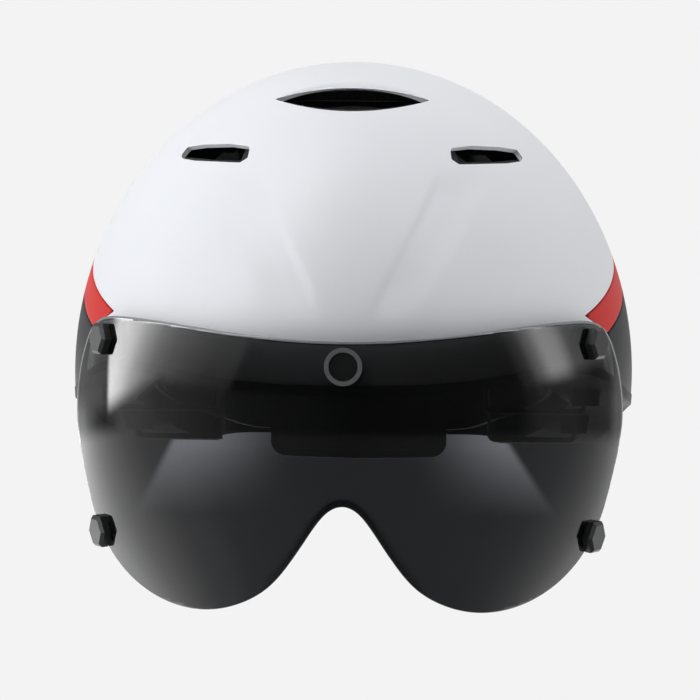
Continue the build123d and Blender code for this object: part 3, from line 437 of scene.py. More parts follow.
def rubber(name, hexText, roughness=0.7):
    # moulded rubber: matt, fine stipple
    material, add, shader, place = startMaterial(name, {"IOR": 1.5})
    stipple = add("ShaderNodeTexVoronoi", {"Scale": 1 / (0.9 * mm), "Vector": place})
    cloud = add("ShaderNodeTexNoise", {"Scale": 1 / (8 * mm), "Detail": 3.0, "Vector": place})
    vary(add, shader, cloud, hexText, (1.0, 1.4), (roughness - 0.08, roughness + 0.08))
    relief(add, shader, stipple, 0.25, 0.12, 0.4)
    return material


smokedLens = {
    "tint": 0.73,
    "lipTint": 0.85,
    "slantTint": 0.93,
    # along the outline: a painted highlight in the pale edge colour, and a painted shadow line in the dark
    # colour, which is also the smoke's own colour
    "edgeHighlightColour": "#7C7E82",
    "smokeAndShadowLineColour": "#08090A",
    "shadowLineStep": (0.22, 0.3),
    "edgeHighlightStep": (0.46, 0.54),
    "roughness": (0.018, 0.042),
    "ior": 1.5,
    "specular": 0.78,
}


def lensMaterial():
    # injection moulded polycarbonate, smoke dyed: dark, clear and glossy, denser in its thick lip, with a
    # painted shadow line and a painted highlight along its edge except low down
    s = smokedLens
    values = {"IOR": s["ior"], "Specular IOR Level": s["specular"]}
    material, add, shader, place = startMaterial("smokedPolycarbonate", values)
    edge, lip = (add("ShaderNodeAttribute", attribute_name=n).outputs["Fac"] for n in ("edge", "lip"))
    # near its outline the lens turns opaque: a band of painted shadow in the dark colour, and outermost a
    # painted highlight in the pale edge colour
    seam, pale = (
        add("ShaderNodeMapRange", {"Value": edge, "From Min": s[step][0], "From Max": s[step][1]})
        for step in ("shadowLineStep", "edgeHighlightStep")
    )
    colours = {0: pale, 6: hexColour(s["smokeAndShadowLineColour"]), 7: hexColour(s["edgeHighlightColour"])}
    cut = add("ShaderNodeMix", colours, data_type="RGBA")
    dense = add("ShaderNodeMapRange", {"Value": lip, "To Min": s["tint"], "To Max": s["lipTint"]})
    path = add("ShaderNodeLightPath")
    direct = {"Value": path.outputs["Is Camera Ray"], "To Min": s["slantTint"], "To Max": 0.0}
    for source in (add("ShaderNodeMapRange", direct), seam):
        dense = add("ShaderNodeMath", {0: dense, 1: source}, operation="MAXIMUM")
    haze = add("ShaderNodeTexNoise", {"Scale": 1 / (30 * mm), "Detail": 2.0, "Vector": place})
    span = {"Value": haze, "To Min": s["roughness"][0], "To Max": s["roughness"][1]}
    rough = add("ShaderNodeMapRange", span)
    setInputs(shader, {"Base Color": cut.outputs[2], "Alpha": dense, "Roughness": rough})
    return material


finishes = {
    "cap_white": paintedFilm("whiteCapFilm", "#E3E5E9", 0.42),
    "accent_red": paintedFilm("redBandFilm", "#C6261F", 0.45, 0.2),
    "rear_black": paintedFilm("charcoalRearFilm", "#252628", 0.45, 0.12),
    "trim_black": mouldedPlastic("edgeTrimVinyl", "#242527", 0.55, shine=0.15),
    "foam_grey": beadFoam("expandedFoam", "#1C1E1F"),
    "smoke_lens": lensMaterial(),
    "moulded_black": mouldedPlastic("mouldedNylonBlack", "#1B1C1E", 0.42, 0.35, 0.1),
    "magnet_black": mouldedPlastic("blackenedMagnet", "#111214", 0.45, 0.4, 0.08),
    "ring_alloy": metal("satinRingAlloy", "#7C7D80", 0.4, 0.35, 0.5),
    "steel": metal("zincPlatedSteel", "#A9A9A6", 0.32),
    "pad_cloth": fabric("knittedPadCloth", "#1A1B1D"),
    "hook_tape": fabric("hookTape", "#161617", 0.5, 0.2),
    "webbing": wovenBand("wovenWebbing", "#1B1C1E"),
    "cradle_plastic": mouldedPlastic("cradleNylon", "#101113", 0.5, 0.6, 0.2),
    "dial_rubber": rubber("dialRubber", "#1E1F20"),
    "keeper_rubber": rubber("keeperRubber", "#151516"),
}
threadMaterial = fabric("stitchThread", "#3C3D40", 0.25, 0.3)
print("materials made:", len(finishes) + 1)

for part in frame["record"]["subparts"]:
    piece = nodes[part["node"]]
    piece.data.materials.clear()
    piece.data.materials.append(finishes[part["material_slot"]])

skin = {
    "halfWidth": 106.0,
    "front": 130.0,
    "rear": 165.0,
    "height": 117.5,
    "tailCentre": -50.0,
    "tailRadius": 200.0,
    "tailEnd": 150.0,
    "tailRound": 9.0,
    "tailFrom": 60.0,
    "tailBlend": 1.0,
    "wall": 1.9,
    "edgeRadius": 0.45,
    "rimDrop": 36.0,
    "rimLift": 3.8,
    "seam": 0.3,
    "ventGap": 0.3,
}
skinGrid = {
    "turns": ((-8, 88, 190), (88, 206, 120), (206, 352, 60)),
    "fineReach": 66,
    "sideRows": 40,
    "middleRows": 112,
    "rimSteps": 400,
}
rimFront = (
    (-1.1, 0.0), (-1.0, 0.0), (-0.885, 0.056), (-0.69, 0.155), (-0.5, 0.056), (-0.27, -0.195), (0.0, -0.347),
)
rimRear = (
    (0.133, -0.458), (0.24, -0.625), (0.333, -0.79), (0.45, -0.917), (0.633, -1.0), (0.733, -1.0),
    (0.833, -0.986), (1.0, -0.958), (1.13, -0.944),
)
rimLine = smoothCurve(
    [(y * skin["front"], z * skin["rimDrop"]) for y, z in rimFront]
    + [(y * skin["tailEnd"], z * skin["rimDrop"]) for y, z in rimRear],
    skinGrid["rimSteps"],
)
band = {
    "frontBack": -72.0,
    "frontHeight": 25.3,
    "width": 10.8,
    "rise": 17.0,
    "slant": 15.0,
    "foot": -52.0,
    "lowest": -60.0,
    "farBack": 200.0,
}
vent = {
    "mouthHalfWidth": 28.0,
    "mouthCorner": 102.2,
    "mouthRise": 4.2,
    "mouthSteps": 61,
    "lipHeight": 2.5,
    "lipSoft": 0.05,
    "lipDepth": 2.4,
    "lipNarrow": 0.05,
    "lipEnd": 0.35,
    "sideMiddle": 49.5,
    "sideHeight": 82.6,
    "sideHalfWidth": 13.0,
    "sideHalfHeight": 3.2,
    "sideCorner": 0.9,
    "portMiddle": 25.0,
    "portWidth": 28.0,
    "portHeight": 10.0,
    "portLevel": 30.0,
    "portCorner": 4.0,
    "return": 1.2,
    "near": 1.2,
}
sideVentShares = (
    (-1.07, 0.72), (-0.5, 1.0), (0.3, 0.9), (0.8, 0.62), (1.02, -0.62), (0.55, -0.9), (-0.8, -1.05),
    (-1.03, -0.45),
)
# each side of a flute as heights and the distances from the middle there
flute = {
    "inner": ((26.0, 37.0, 62.0, 78.0), (7.5, 11.0, 24.0, 31.0)),
    "outer": ((24.0, 34.0, 55.0, 76.0), (23.0, 28.5, 40.5, 51.0)),
    "depth": 1.0,
    "innerWall": 3.6,
    "outerWall": 9.0,
    "top": 80.0,
    "topFade": 12.0,
    "bottom": 24.0,
    "bottomFade": 16.0,
}


def shellUnit():
    # unit ball with poles at the ears, finest over the brow
    g = skinGrid
    theta = np.radians(np.concatenate([np.linspace(*turn, endpoint=False) for turn in g["turns"]]))
    edge = np.degrees(np.arcsin(g["fineReach"] / skin["halfWidth"]))
    phi = (
        np.linspace(-90, -edge, g["sideRows"], endpoint=False),
        np.linspace(-edge, edge, g["middleRows"], endpoint=False),
        np.linspace(edge, 90, g["sideRows"] + 1),
    )
    phi = np.radians(np.concatenate(phi)[1:-1])
    rows, columns = len(theta), len(phi)
    t, p = np.meshgrid(theta, phi, indexing="ij")
    ball = np.stack((np.sin(p), -np.cos(t) * np.cos(p), np.sin(t) * np.cos(p)), axis=-1).reshape(-1, 3)
    i, j = np.meshgrid(np.arange(rows), np.arange(columns - 1), indexing="ij")
    here, there = i * columns + j, (i + 1) % rows * columns + j
    tris = splitQuads(here, here + 1, there + 1, there)
    left, right = len(ball), len(ball) + 1
    ball = np.concatenate((ball, [[-1, 0, 0], [1, 0, 0]]))
    k = np.arange(rows) * columns
    m = np.roll(k, -1)
    caps = [
        np.stack((np.full(rows, left), k, m), -1),
        np.stack((k + columns - 1, np.full(rows, right), m + columns - 1), -1),
    ]
    return ball, np.concatenate([tris] + caps)


def skinAxes(y, inset=0.0):
    # half lengths of the skin's ball along x, y and z; the rear half is longer
    axes = np.tile((skin["halfWidth"], skin["front"], skin["height"]), (len(y), 1))
    axes[y >= 0, 1] = skin["rear"]
    return axes - inset


def shellNormal(points):
    s = skin
    normal = unit(points / skinAxes(points[:, 1]) ** 2)
    fromTail = points - np.array((0, s["tailCentre"], 0))
    distance = np.linalg.norm(fromTail, axis=1, keepdims=True)
    share = blendStep(distance, s["tailRadius"] - s["tailRound"], s["tailRadius"] - s["tailBlend"])
    share = share * (points[:, 1:2] > s["tailFrom"])
    return unit(normal * (1 - share) + fromTail / distance * share)


def shellBase(ball, inset=0.0):
    s = skin
    way = unit(ball)
    points = way * skinAxes(way[:, 1], inset)
    centre = np.array((0, s["tailCentre"], 0))
    away = points - centre
    distance = np.linalg.norm(away, axis=1)
    limit = s["tailRadius"] - inset
    share = np.clip(0.5 + 0.5 * (limit - distance) / s["tailRound"], 0, 1)
    soft = limit * (1 - share) + distance * share - s["tailRound"] * share * (1 - share)
    soft = np.where(points[:, 1] > 0, soft, distance)
    return centre + away * (soft / distance)[:, None]


def shellInner(points):
    return shellBase(points / skinAxes(points[:, 1]), skin["wall"])


def mouthOutline():
    # an arc above and a shallower bow below, meeting in two points
    v = vent
    across = np.linspace(-1, 1, v["mouthSteps"])
    half, rise = v["mouthHalfWidth"], v["mouthRise"]
    radius = (half**2 + rise**2) / (2 * rise)
    bow = np.sqrt(radius**2 - (across * half) ** 2) - (radius - rise)
    roof = np.stack((across * half, v["mouthCorner"] + bow), -1)
    sill = np.stack((across * half, v["mouthCorner"] - rise * (1 - across**2)), -1)[::-1]
    return np.concatenate((roof, sill[1:-1]))


def sideVentOutline(side):
    v = vent
    points = [
        (side * (v["sideMiddle"] + x * v["sideHalfWidth"]), v["sideHeight"] + z * v["sideHalfHeight"])
        for x, z in sideVentShares
    ]
    return roundCorners(points, v["sideCorner"])


def boxOutline(left, bottom, right, top, corner, steps=8):
    return roundCorners([(left, bottom), (right, bottom), (right, top), (left, top)], corner, steps)


def portOutline(side):
    v = vent
    middle, level = side * v["portMiddle"], v["portLevel"]
    half, tall = v["portWidth"] / 2, v["portHeight"] / 2
    return boxOutline(middle - half, level - tall, middle + half, level + tall, v["portCorner"])


mouthShape = mouthOutline()
sideShapes = {side: sideVentOutline(side) for side in (-1, 1)}
portShapes = {side: portOutline(side) for side in (-1, 1)}


def shellPress(points):
    # depth of the flutes and of the mouth's rolled lip, along the skin's normal
    x, y, z = points.T
    side = np.abs(x)
    f, v = flute, vent
    inner, outer = (np.interp(z, *f[name]) for name in ("inner", "outer"))
    rise = blendStep(side, inner, inner + f["innerWall"])
    fall = np.clip((outer - side) / f["outerWall"], 0, 1)
    fall = fall * (2 - fall) * 0.5 + fall * 0.5
    above = blendStep(z, f["bottom"], f["bottom"] + f["bottomFade"])
    below = 1 - blendStep(z, f["top"] - f["topFade"], f["top"])
    depth = f["depth"] * rise * fall * (above * below)
    share = np.clip(1 - (x / v["mouthHalfWidth"]) ** 2, 0, 1)
    top = v["mouthCorner"] + v["mouthRise"] * share
    fallen = np.clip(1 - (z - top) / (v["lipHeight"] * np.maximum(share, v["lipNarrow"])), 0, 1)
    fallen = fallen**2 / (fallen + v["lipSoft"])
    roll = v["lipDepth"] * fallen * (2 - fallen) * blendStep(share, 0, v["lipEnd"]) * (z > v["mouthCorner"])
    return np.where(y < 0, depth + roll, 0)


def shellPlace(ball):
    points = shellBase(ball)
    return points - shellNormal(points) * shellPress(points)[:, None]


def aboveRim(points):
    level = np.interp(points[:, 1], rimLine[:, 0], rimLine[:, 1])
    return points[:, 2] - level - skin["rimLift"]


def clearOf(shape, way, elsewhere=9.0):
    # trims a vent's outline out of the front of the skin (way -1) or the back of it (way 1)
    def field(p):
        room = np.where(p[:, 1] * way > 0, -insideDistance(shape, p[:, 0], p[:, 2]), elsewhere)
        return room - skin["ventGap"]

    return field


def bandLine(offset):
    b = band
    rise = math.tan(math.radians(b["rise"]))
    drop = offset / math.cos(math.radians(b["rise"]))
    start = b["frontBack"] + b["slant"] * offset / b["width"]
    height = b["frontHeight"] + (start - b["frontBack"]) * rise - drop
    return (start, height), (b["farBack"], height + (b["farBack"] - start) * rise)


def colourOutlines():
    # side view outlines: what the white leaves to the others, the red band, and the black
    b, seam = band, skin["seam"]
    far, lowest, foot = b["farBack"], b["lowest"], b["foot"]
    front, back = bandLine(-seam)
    high, highBack = bandLine(0.0)
    low, lowBack = bandLine(b["width"])
    start, end = bandLine(b["width"] + seam)
    colour = [
        (front[0] - seam, front[1]),
        back,
        (far, lowest),
        (foot - seam, lowest),
        (foot - seam, 0.0),
        (low[0] - seam, low[1] - seam),
    ]
    black = [(start[0] + seam, start[1]), end, (far, lowest), (foot + seam, lowest), (foot + seam, 0.0)]
    return colour, [high, highBack, lowBack, low], black


def ventWall(points, normals):
    # walls of vents run straight back, other edges turn in along the normal
    x, y, z = points.T
    down, length = -normals, np.full(len(x), skin["wall"])
    for shapes, way in (([mouthShape, *sideShapes.values()], -1), (portShapes.values(), 1)):
        for shape in shapes:
            near = (np.abs(insideDistance(shape, x, z)) < vent["near"]) & (y * way > 0)
            down[near] = (0, -way, 0)
            length[near] = vent["return"]
    return down, length


def makeSkins():
    whole = Surface(*shellUnit(), shellPlace).trim(aboveRim).trim(clearOf(mouthShape, -1))
    for side in (-1, 1):
        whole = whole.trim(clearOf(sideShapes[side], -1)).trim(clearOf(portShapes[side], 1))
    colour, red, black = colourOutlines()
    radius = skin["edgeRadius"]
    fields = {
        "upper_shell": ("cap_white", colour, -1),
        "accent_band": ("accent_red", red, 1),
        "rear_shell": ("rear_black", black, 1),
    }
    for node, (slot, outline, way) in fields.items():
        surface = whole.trim(lambda p: way * insideDistance(outline, p[:, 1], p[:, 2]) - radius)
        points, faces = closedPanel(surface, shellNormal, skin["wall"], radius, ventWall, shellInner)
        makePiece(node, "_skin", points, faces, "helmet", slot)
        print(node, len(faces), "faces")


lens = {
    "halfWidth": 110.0,
    "reach": 139.0,
    "bend": 240.0,
    "middle": -10.0,
    "wall": 2.2,
    "edgeRadius": 0.6,
    "side": 99.0,
    "depth": 75.6,
    "arc": (-72, 72, 250),
    "levels": (-78, 30, 110),
    "outlineSteps": 521,
    "lipWidth": 3.0,
    "lipFlare": 0.7,
    "lipReach": 30.0,
    "lipFade": 10.0,
    "lipDense": 0.25,
    "cup": (0.0, 10.7, 5.95),
    "studs": ((87.2, 16.1), (87.3, -53.0)),
    "studHole": 2.55,
    "holeGap": 0.2,
    "paintedEdgeWidth": 2.0,
    "paintedEdgeLow": -20.0,
    "paintedEdgeFade": 8.0,
}
lensTop = (
    (0.0, 19.35), (15.0, 19.7), (30.0, 20.7), (45.0, 22.0), (55.0, 23.1), (65.0, 24.05), (75.0, 24.65),
    (82.0, 24.7), (87.4, 23.9),
)
lensShares = (
    (0.921, 0.288), (0.967, 0.185), (1.0, 0.02), (1.009, -0.2), (0.972, -0.43), (0.915, -0.661),
    (0.849, -0.8), (0.744, -0.919), (0.604, -0.992), (0.475, -1.0), (0.359, -0.958), (0.26, -0.877),
    (0.183, -0.758), (0.129, -0.653), (0.076, -0.553), (0.038, -0.507), (0.0, -0.492),
)


def lensOutline():
    right = list(lensTop) + [(x * lens["side"], z * lens["depth"]) for x, z in lensShares]
    left = [(-x, z) for x, z in reversed(right[:-1])]
    return smoothCurve(right + left, lens["outlineSteps"])[:-1]


lensShape = lensOutline()


def notchLip(x, z):
    # 1 at the edge of the nose notch, falling to 0 across the lip
    n = lens
    inside = insideDistance(lensShape, x, z)
    near = 1 - blendStep(np.abs(x), n["lipReach"] - n["lipFade"], n["lipReach"])
    return near * np.clip(1 - inside / n["lipWidth"], 0, 1) * (z < -n["lipWidth"])


def lensPlace(params):
    n = lens
    angle, z = params.T
    size = np.sqrt(1 - ((z - n["middle"]) / n["bend"]) ** 2)
    x, y = n["halfWidth"] * size * np.sin(angle), -n["reach"] * size * np.cos(angle)
    return np.stack((x, y - n["lipFlare"] * notchLip(x, z) ** 2, z), -1)


def lensNormal(points):
    n = lens
    return unit((points - (0, 0, n["middle"])) / np.array((n["halfWidth"], n["reach"], n["bend"])) ** 2)


def makeLens():
    n = lens
    angle, level = np.radians(np.linspace(*n["arc"])), np.linspace(*n["levels"])
    params = np.stack(np.meshgrid(angle, level, indexing="ij"), -1).reshape(-1, 2)
    surface = Surface(params, gridTriangles(len(angle), len(level)), lensPlace)
    surface = surface.trim(lambda s: insideDistance(lensShape, s[:, 0], s[:, 2]) - n["edgeRadius"])
    holes = [n["cup"]] + [(side * x, z, n["studHole"]) for side in (-1, 1) for x, z in n["studs"]]
    for x, z, hole in holes:
        lift = math.sqrt(1 - ((z - n["middle"]) / n["bend"]) ** 2)
        centre = lensPlace(np.array([[math.asin(x / n["halfWidth"] / lift), z]]))
        axis = lensNormal(centre)[0]

        def clear(s):
            away = s - centre
            return np.linalg.norm(away - (away @ axis)[:, None] * axis, axis=1) - hole - n["holeGap"]

        surface = surface.trim(clear)
    points, faces = closedPanel(surface, lensNormal, n["wall"], n["edgeRadius"])
    piece = makePiece("visor_lens", "_shield", points, faces, "visor", "smoke_lens", sharpAngle=50.0)
    x, _, z = points.T
    # the edge mark carries the painted shadow line and the painted highlight along the lens's outline, fading
    # out low down
    cut = np.clip(1 - insideDistance(lensShape, x, z) / n["paintedEdgeWidth"], 0, 1)
    marks = {
        "lip": blendStep(notchLip(x, z), 0.0, n["lipDense"]),
        "edge": cut * blendStep(z, n["paintedEdgeLow"] - n["paintedEdgeFade"], n["paintedEdgeLow"]),
    }
    for name, values in marks.items():
        piece.data.attributes.new(name, "FLOAT", "POINT").data.foreach_set("value", values)
    print("lens", len(faces), "faces")


head = {"halfWidth": 83.0, "length": 107.0, "height": 98.0, "gap": 0.3}
cradle = {"dialBack": 98.0, "dialHeight": -26.0, "tilt": 13.0, "plateBack": -2.0, "plateRadius": 90.0}
padding = {
    "step": 1.1,
    "flange": 1.3,
    "flangeWidth": 1.9,
    "roll": 4.2,
    "channelDepth": 0.62,
    "channelWidth": 1.3,
    "pucker": 0.16,
    "puckerPitch": 6.5,
    "puckerSlant": 0.7,
    "puckerPlace": 1.0,
    "puckerWidth": 1.4,
}
browPad = {
    "bottom": 4.3,
    "top": 27.7,
    "reach": 81.0,
    "corner": 9.0,
    "arc": 90.0,
    "thickness": 5.0,
    "channels": (-46, -16, 16, 46),
    "channelInset": 5,
}
sidePad = {
    "front": -37.7,
    "back": 25.7,
    "bottom": 22.3,
    "top": 43.7,
    "corner": 8.0,
    "thickness": 5.0,
    "channelInset": 10,
}
crownPad = {
    "middle": 24.0,
    "width": 14.6,
    "front": -41.7,
    "back": 49.7,
    "corner": 7.2,
    "thickness": 5.0,
    "channels": (-14, 22),
    "channelInset": 4,
}
cradlePad = {"inner": 4.2, "outer": 32.8, "halfHeight": 14.8, "corner": 6.0, "radius": 87.3, "thickness": 3.5}
templePad = {"length": 24.0, "inset": 3.0, "halfHeight": 4.2, "corner": 3.9, "near": 1.2, "thickness": 3.0}
armLine = {
    "start": (-34.0, 2.2),
    "spread": 74.6,
    "reach": 115.0,
    "steps": 600,
    "shares": (
        (0.536, -0.0087),
        (0.617, 0.0435),
        (0.697, 0.165),
        (0.804, 0.339),
        (0.912, 0.548),
        (0.985, 0.774),
        (1.0, 1.0),
    ),
}


def fromDial(points):
    # from the dial's own upright frame to the helmet's
    c = cradle
    tilt = math.radians(c["tilt"])
    x, y, z = points.T
    back = c["dialBack"] + y * math.cos(tilt) + z * math.sin(tilt)
    up = c["dialHeight"] - y * math.sin(tilt) + z * math.cos(tilt)
    return np.stack((x, back, up), -1)


def headHalves(depth):
    inset = head["gap"] + depth
    return head["halfWidth"] - inset, head["length"] - inset, head["height"] - inset


def browLift(u, v, depth):
    half, length, height = headHalves(depth)
    size = np.sqrt(1 - (v / height) ** 2)
    angle = u / browPad["arc"]
    return np.stack((half * size * np.sin(angle), -length * size * np.cos(angle), v), -1)


def sideLift(side):
    def lift(u, v, depth):
        half, length, height = headHalves(depth)
        return np.stack((side * half * np.sqrt(1 - (u / length) ** 2 - (v / height) ** 2), u, v), -1)

    return lift


def crownLift(u, v, depth):
    half, length, height = headHalves(depth)
    return np.stack((u, v, height * np.sqrt(1 - (u / half) ** 2 - (v / length) ** 2)), -1)


def cradleLift(u, v, depth):
    radius = cradlePad["radius"] - depth
    back = cradle["plateBack"] - cradle["plateRadius"] + np.sqrt(radius**2 - u**2)
    return fromDial(np.stack((u, back, v), -1))


def templeLift(side):
    ends = [(-x * armLine["spread"], -y * armLine["reach"]) for x, y in armLine["shares"]]
    line = smoothCurve([armLine["start"]] + ends, armLine["steps"])
    runs = runLengths(line)
    first = runs[-1] - templePad["inset"] - templePad["length"]

    def lift(u, v, depth):
        x, y = (np.interp(first + u, runs, line[:, k]) for k in (0, 1))
        wayX, wayY = (np.interp(first + u, runs, np.gradient(line[:, k], runs)) for k in (0, 1))
        offset = templePad["near"] + depth
        return fromDial(np.stack((-side * (x - wayY * offset), y + wayX * offset, v), -1))

    return lift


def alongSegment(u, v, start, end):
    # distance to a line between two points
    dx, dy = end[0] - start[0], end[1] - start[1]
    t = np.clip(((u - start[0]) * dx + (v - start[1]) * dy) / (dx * dx + dy * dy), 0, 1)
    return np.hypot(u - start[0] - t * dx, v - start[1] - t * dy)


def cushion(node, body, outline, lift, thickness, channels=()):
    # heat pressed pad: flat flange, crowned face towards the head, pressed channels, gathered cloth
    c = padding
    low, high = outline.min(0) - c["step"], outline.max(0) + c["step"]
    us, vs = (np.arange(low[k], high[k], c["step"]) for k in (0, 1))
    grid = np.stack(np.meshgrid(us, vs, indexing="ij"), -1).reshape(-1, 2)
    flat = Surface(grid, gridTriangles(len(us), len(vs)), lambda q: np.column_stack((q, np.zeros(len(q)))))
    flat = flat.trim(lambda q: insideDistance(outline, q[:, 0], q[:, 1]))
    u, v = flat.params.T
    inside = np.maximum(insideDistance(outline, u, v), 0)
    rise = np.clip((inside - c["flangeWidth"]) / c["roll"], 0, 1)
    crown = np.sqrt(1 - (1 - rise) ** 2)
    for start, end in channels:
        away = alongSegment(u, v, start, end)
        crown = crown * (1 - c["channelDepth"] * np.exp(-((away / c["channelWidth"]) ** 2)))
    gather = np.exp(-(((inside - c["flangeWidth"] - c["puckerPlace"]) / c["puckerWidth"]) ** 2))
    folds = np.sin(2 * math.pi * (u + c["puckerSlant"] * v) / c["puckerPitch"])
    crown = crown * (1 + c["pucker"] * gather * folds)
    depth = c["flange"] + (thickness - c["flange"]) * np.minimum(crown, 1)
    count = len(u)
    walls = [(b, a, a + count, b + count) for a, b in borderEdges(flat.triangles)]
    points = np.concatenate((lift(u, v, depth), lift(u, v, np.zeros(count))))
    faces = flat.triangles.tolist() + (flat.triangles[:, ::-1] + count).tolist() + walls
    piece = makePiece(node, "_cushion", points, faces, body, "pad_cloth", sharpAngle=55.0, outward=True)
    return len(faces)


def makePads():
    b, s, c, k, t = browPad, sidePad, crownPad, cradlePad, templePad
    outline = boxOutline(-b["reach"], b["bottom"], b["reach"], b["top"], b["corner"])
    low, high = b["bottom"] + b["channelInset"], b["top"] - b["channelInset"]
    channels = [((x, low), (x, high)) for x in b["channels"]]
    total = cushion("brow_pad", "helmet", outline, browLift, b["thickness"], channels)
    for side, word in sideWords:
        outline = boxOutline(s["front"], s["bottom"], s["back"], s["top"], s["corner"])
        middle, inset = (s["bottom"] + s["top"]) / 2, s["channelInset"]
        channels = [((s["front"] + inset, middle), (s["back"] - inset, middle))]
        total += cushion("side_pad_" + word, "helmet", outline, sideLift(side), s["thickness"], channels)
        near, far = sorted((side * (c["middle"] - c["width"] / 2), side * (c["middle"] + c["width"] / 2)))
        outline = boxOutline(near, c["front"], far, c["back"], c["corner"])
        channels = [((near + c["channelInset"], y), (far - c["channelInset"], y)) for y in c["channels"]]
        total += cushion("crown_pad_" + word, "helmet", outline, crownLift, c["thickness"], channels)
        near, far = sorted((side * k["inner"], side * k["outer"]))
        outline = boxOutline(near, -k["halfHeight"], far, k["halfHeight"], k["corner"])
        total += cushion("cradle_pad_" + word, "cradle", outline, cradleLift, k["thickness"])
        outline = boxOutline(0, -t["halfHeight"], t["length"], t["halfHeight"], t["corner"])
        total += cushion("temple_pad_" + word, "arm_" + word, outline, templeLift(side), t["thickness"])
    print("pads", total, "faces")


webbing = {
    "width": 15.0,
    "wall": 1.2,
    "step": 1.4,
    "bend": 2.4,
    "bendSteps": 8,
    "ripple": 0.3,
    "rippleLength": 21.0,
    "rippleFade": 15,
    "leanFade": 14,
    "leanEnd": (16, 4),
    "sides": 28,
    "roundWide": 0.35,
    "roundThick": 0.7,
}
straps = {
    "anchor": 86.5,
    "grip": 4.0,
    "front": (-38.0, -9.0, -12.0, 50.0),
    "rear": (38.0, -21.5, -29.5, 52.5),
    "dividerMiddle": 8.0,
    "dividerGrip": 21.0,
    "leanAfter": 2,
    "stitchAfter": 18,
    "chinStart": 27.8,
    "chinLevel": 79.0,
    "chinShares": ((1.0, 0.709), (0.9, 0.899), (0.75, 1.0)),
    "chinBend": 12.0,
    "chinLean": 20,
    "chinStitch": 60,
    "chinEnds": {-1: 18.0, 1: 18.4},
}
stitches = {
    "spacing": 1.5,
    "length": 1.15,
    "thickness": 0.34,
    "boxLength": 14.0,
    "boxWidth": 9.0,
    "proud": 0.02,
    "steps": 12,
}
stitchLines = []


def ribbon(node, corners, bend, leanAfter, stitchAt, side):
    # webbing folded along a route, its width along Y but square to a slanting run
    w = webbing
    route = roundCorners(corners, bend, w["bendSteps"], closed=False)
    runs = runLengths(route)
    places = np.linspace(0, runs[-1], max(2, int(runs[-1] / w["step"])))
    route = np.stack([np.interp(places, runs, route[:, k]) for k in range(3)], -1)
    end = places[-1]
    way = unit(np.gradient(route, places, axis=0))
    across = np.tile((0.0, 1.0, 0.0), (len(route), 1))
    square = unit(across - way * way[:, 1:2])
    share = blendStep(places, leanAfter, leanAfter + w["leanFade"])
    share = (share * (1 - blendStep(places, end - w["leanEnd"][0], end - w["leanEnd"][1])))[:, None]
    across = unit(across * (1 - share) + square * share)
    normal = unit(np.cross(way, across))
    loose = blendStep(places, leanAfter, leanAfter + w["rippleFade"])
    loose = loose * (1 - blendStep(places, end - w["rippleFade"], end))
    route = route + normal * (w["ripple"] * loose * np.sin(2 * math.pi * places / w["rippleLength"]))[:, None]
    turns = np.linspace(0, 2 * math.pi, w["sides"], endpoint=False)
    wide = np.sign(np.cos(turns)) * np.abs(np.cos(turns)) ** w["roundWide"] * w["width"] / 2
    thick = np.sign(np.sin(turns)) * np.abs(np.sin(turns)) ** w["roundThick"] * w["wall"] / 2
    rings = route[:, None] + across[:, None] * wide[None, :, None] + normal[:, None] * thick[None, :, None]
    faces = tubeFaces(len(route), w["sides"])
    piece = makePiece(node, "_webbing", rings.reshape(-1, 3), faces, "helmet", "webbing", sharpAngle=60.0)
    flat = piece.data.uv_layers.new(name="band")
    corner = np.empty(len(piece.data.loops), int)
    piece.data.loops.foreach_get("vertex_index", corner)
    spots = np.stack((places[corner // w["sides"]], wide[corner % w["sides"]]), -1) * mm
    flat.data.foreach_set("uv", spots.ravel())
    sewBox(route, places, across, normal, stitchAt, side)
    return len(faces)


def sewBox(route, places, across, normal, middle, face):
    # a box with a cross in it, sewn on one face of the webbing
    t = stitches
    half, wide = t["boxLength"] / 2, t["boxWidth"] / 2
    lift = face * (webbing["wall"] / 2 + t["proud"])
    corners = [(-1, -1), (1, -1), (1, 1), (-1, 1), (-1, -1), (1, 1), (1, -1), (-1, 1)]
    share = np.linspace(0, 1, t["steps"])
    for (a, b), (c, d) in zip(corners, corners[1:]):
        along = middle + half * (a + (c - a) * share)
        aside = wide * (b + (d - b) * share)
        at = np.stack([np.interp(along, places, route[:, n]) for n in range(3)], -1)
        rows = [int(np.argmin(np.abs(places - spot))) for spot in along]
        stitchLines.append(at + across[rows] * aside[:, None] + normal[rows] * lift)


def makeStraps():
    t = straps
    total = 0
    for side, word in sideWords:
        for name in ("front", "rear"):
            y, bottom, run, plane = t[name]
            corners = [
                (side * t["anchor"], y, bottom + t["grip"]),
                (side * t["anchor"], y, run),
                (side * plane, y, run),
                (side * plane, t["dividerMiddle"], t["dividerGrip"]),
            ]
            floor = bottom + t["grip"] - run + t["anchor"] - plane
            ends = floor + t["leanAfter"], floor + t["stitchAfter"]
            total += ribbon(name + "_strap_" + word, corners, webbing["bend"], *ends, side)
        plane, middle, level = t["front"][3], t["dividerMiddle"], t["chinLevel"]
        corners = [(side * plane, middle, t["chinStart"])]
        corners += [(side * x * plane, middle, z * level) for x, z in t["chinShares"]]
        corners.append((side * t["chinEnds"][side], middle, level))
        total += ribbon("chin_strap_" + word, corners, t["chinBend"], t["chinLean"], t["chinStitch"], side)
    print("webbing", total, "faces")


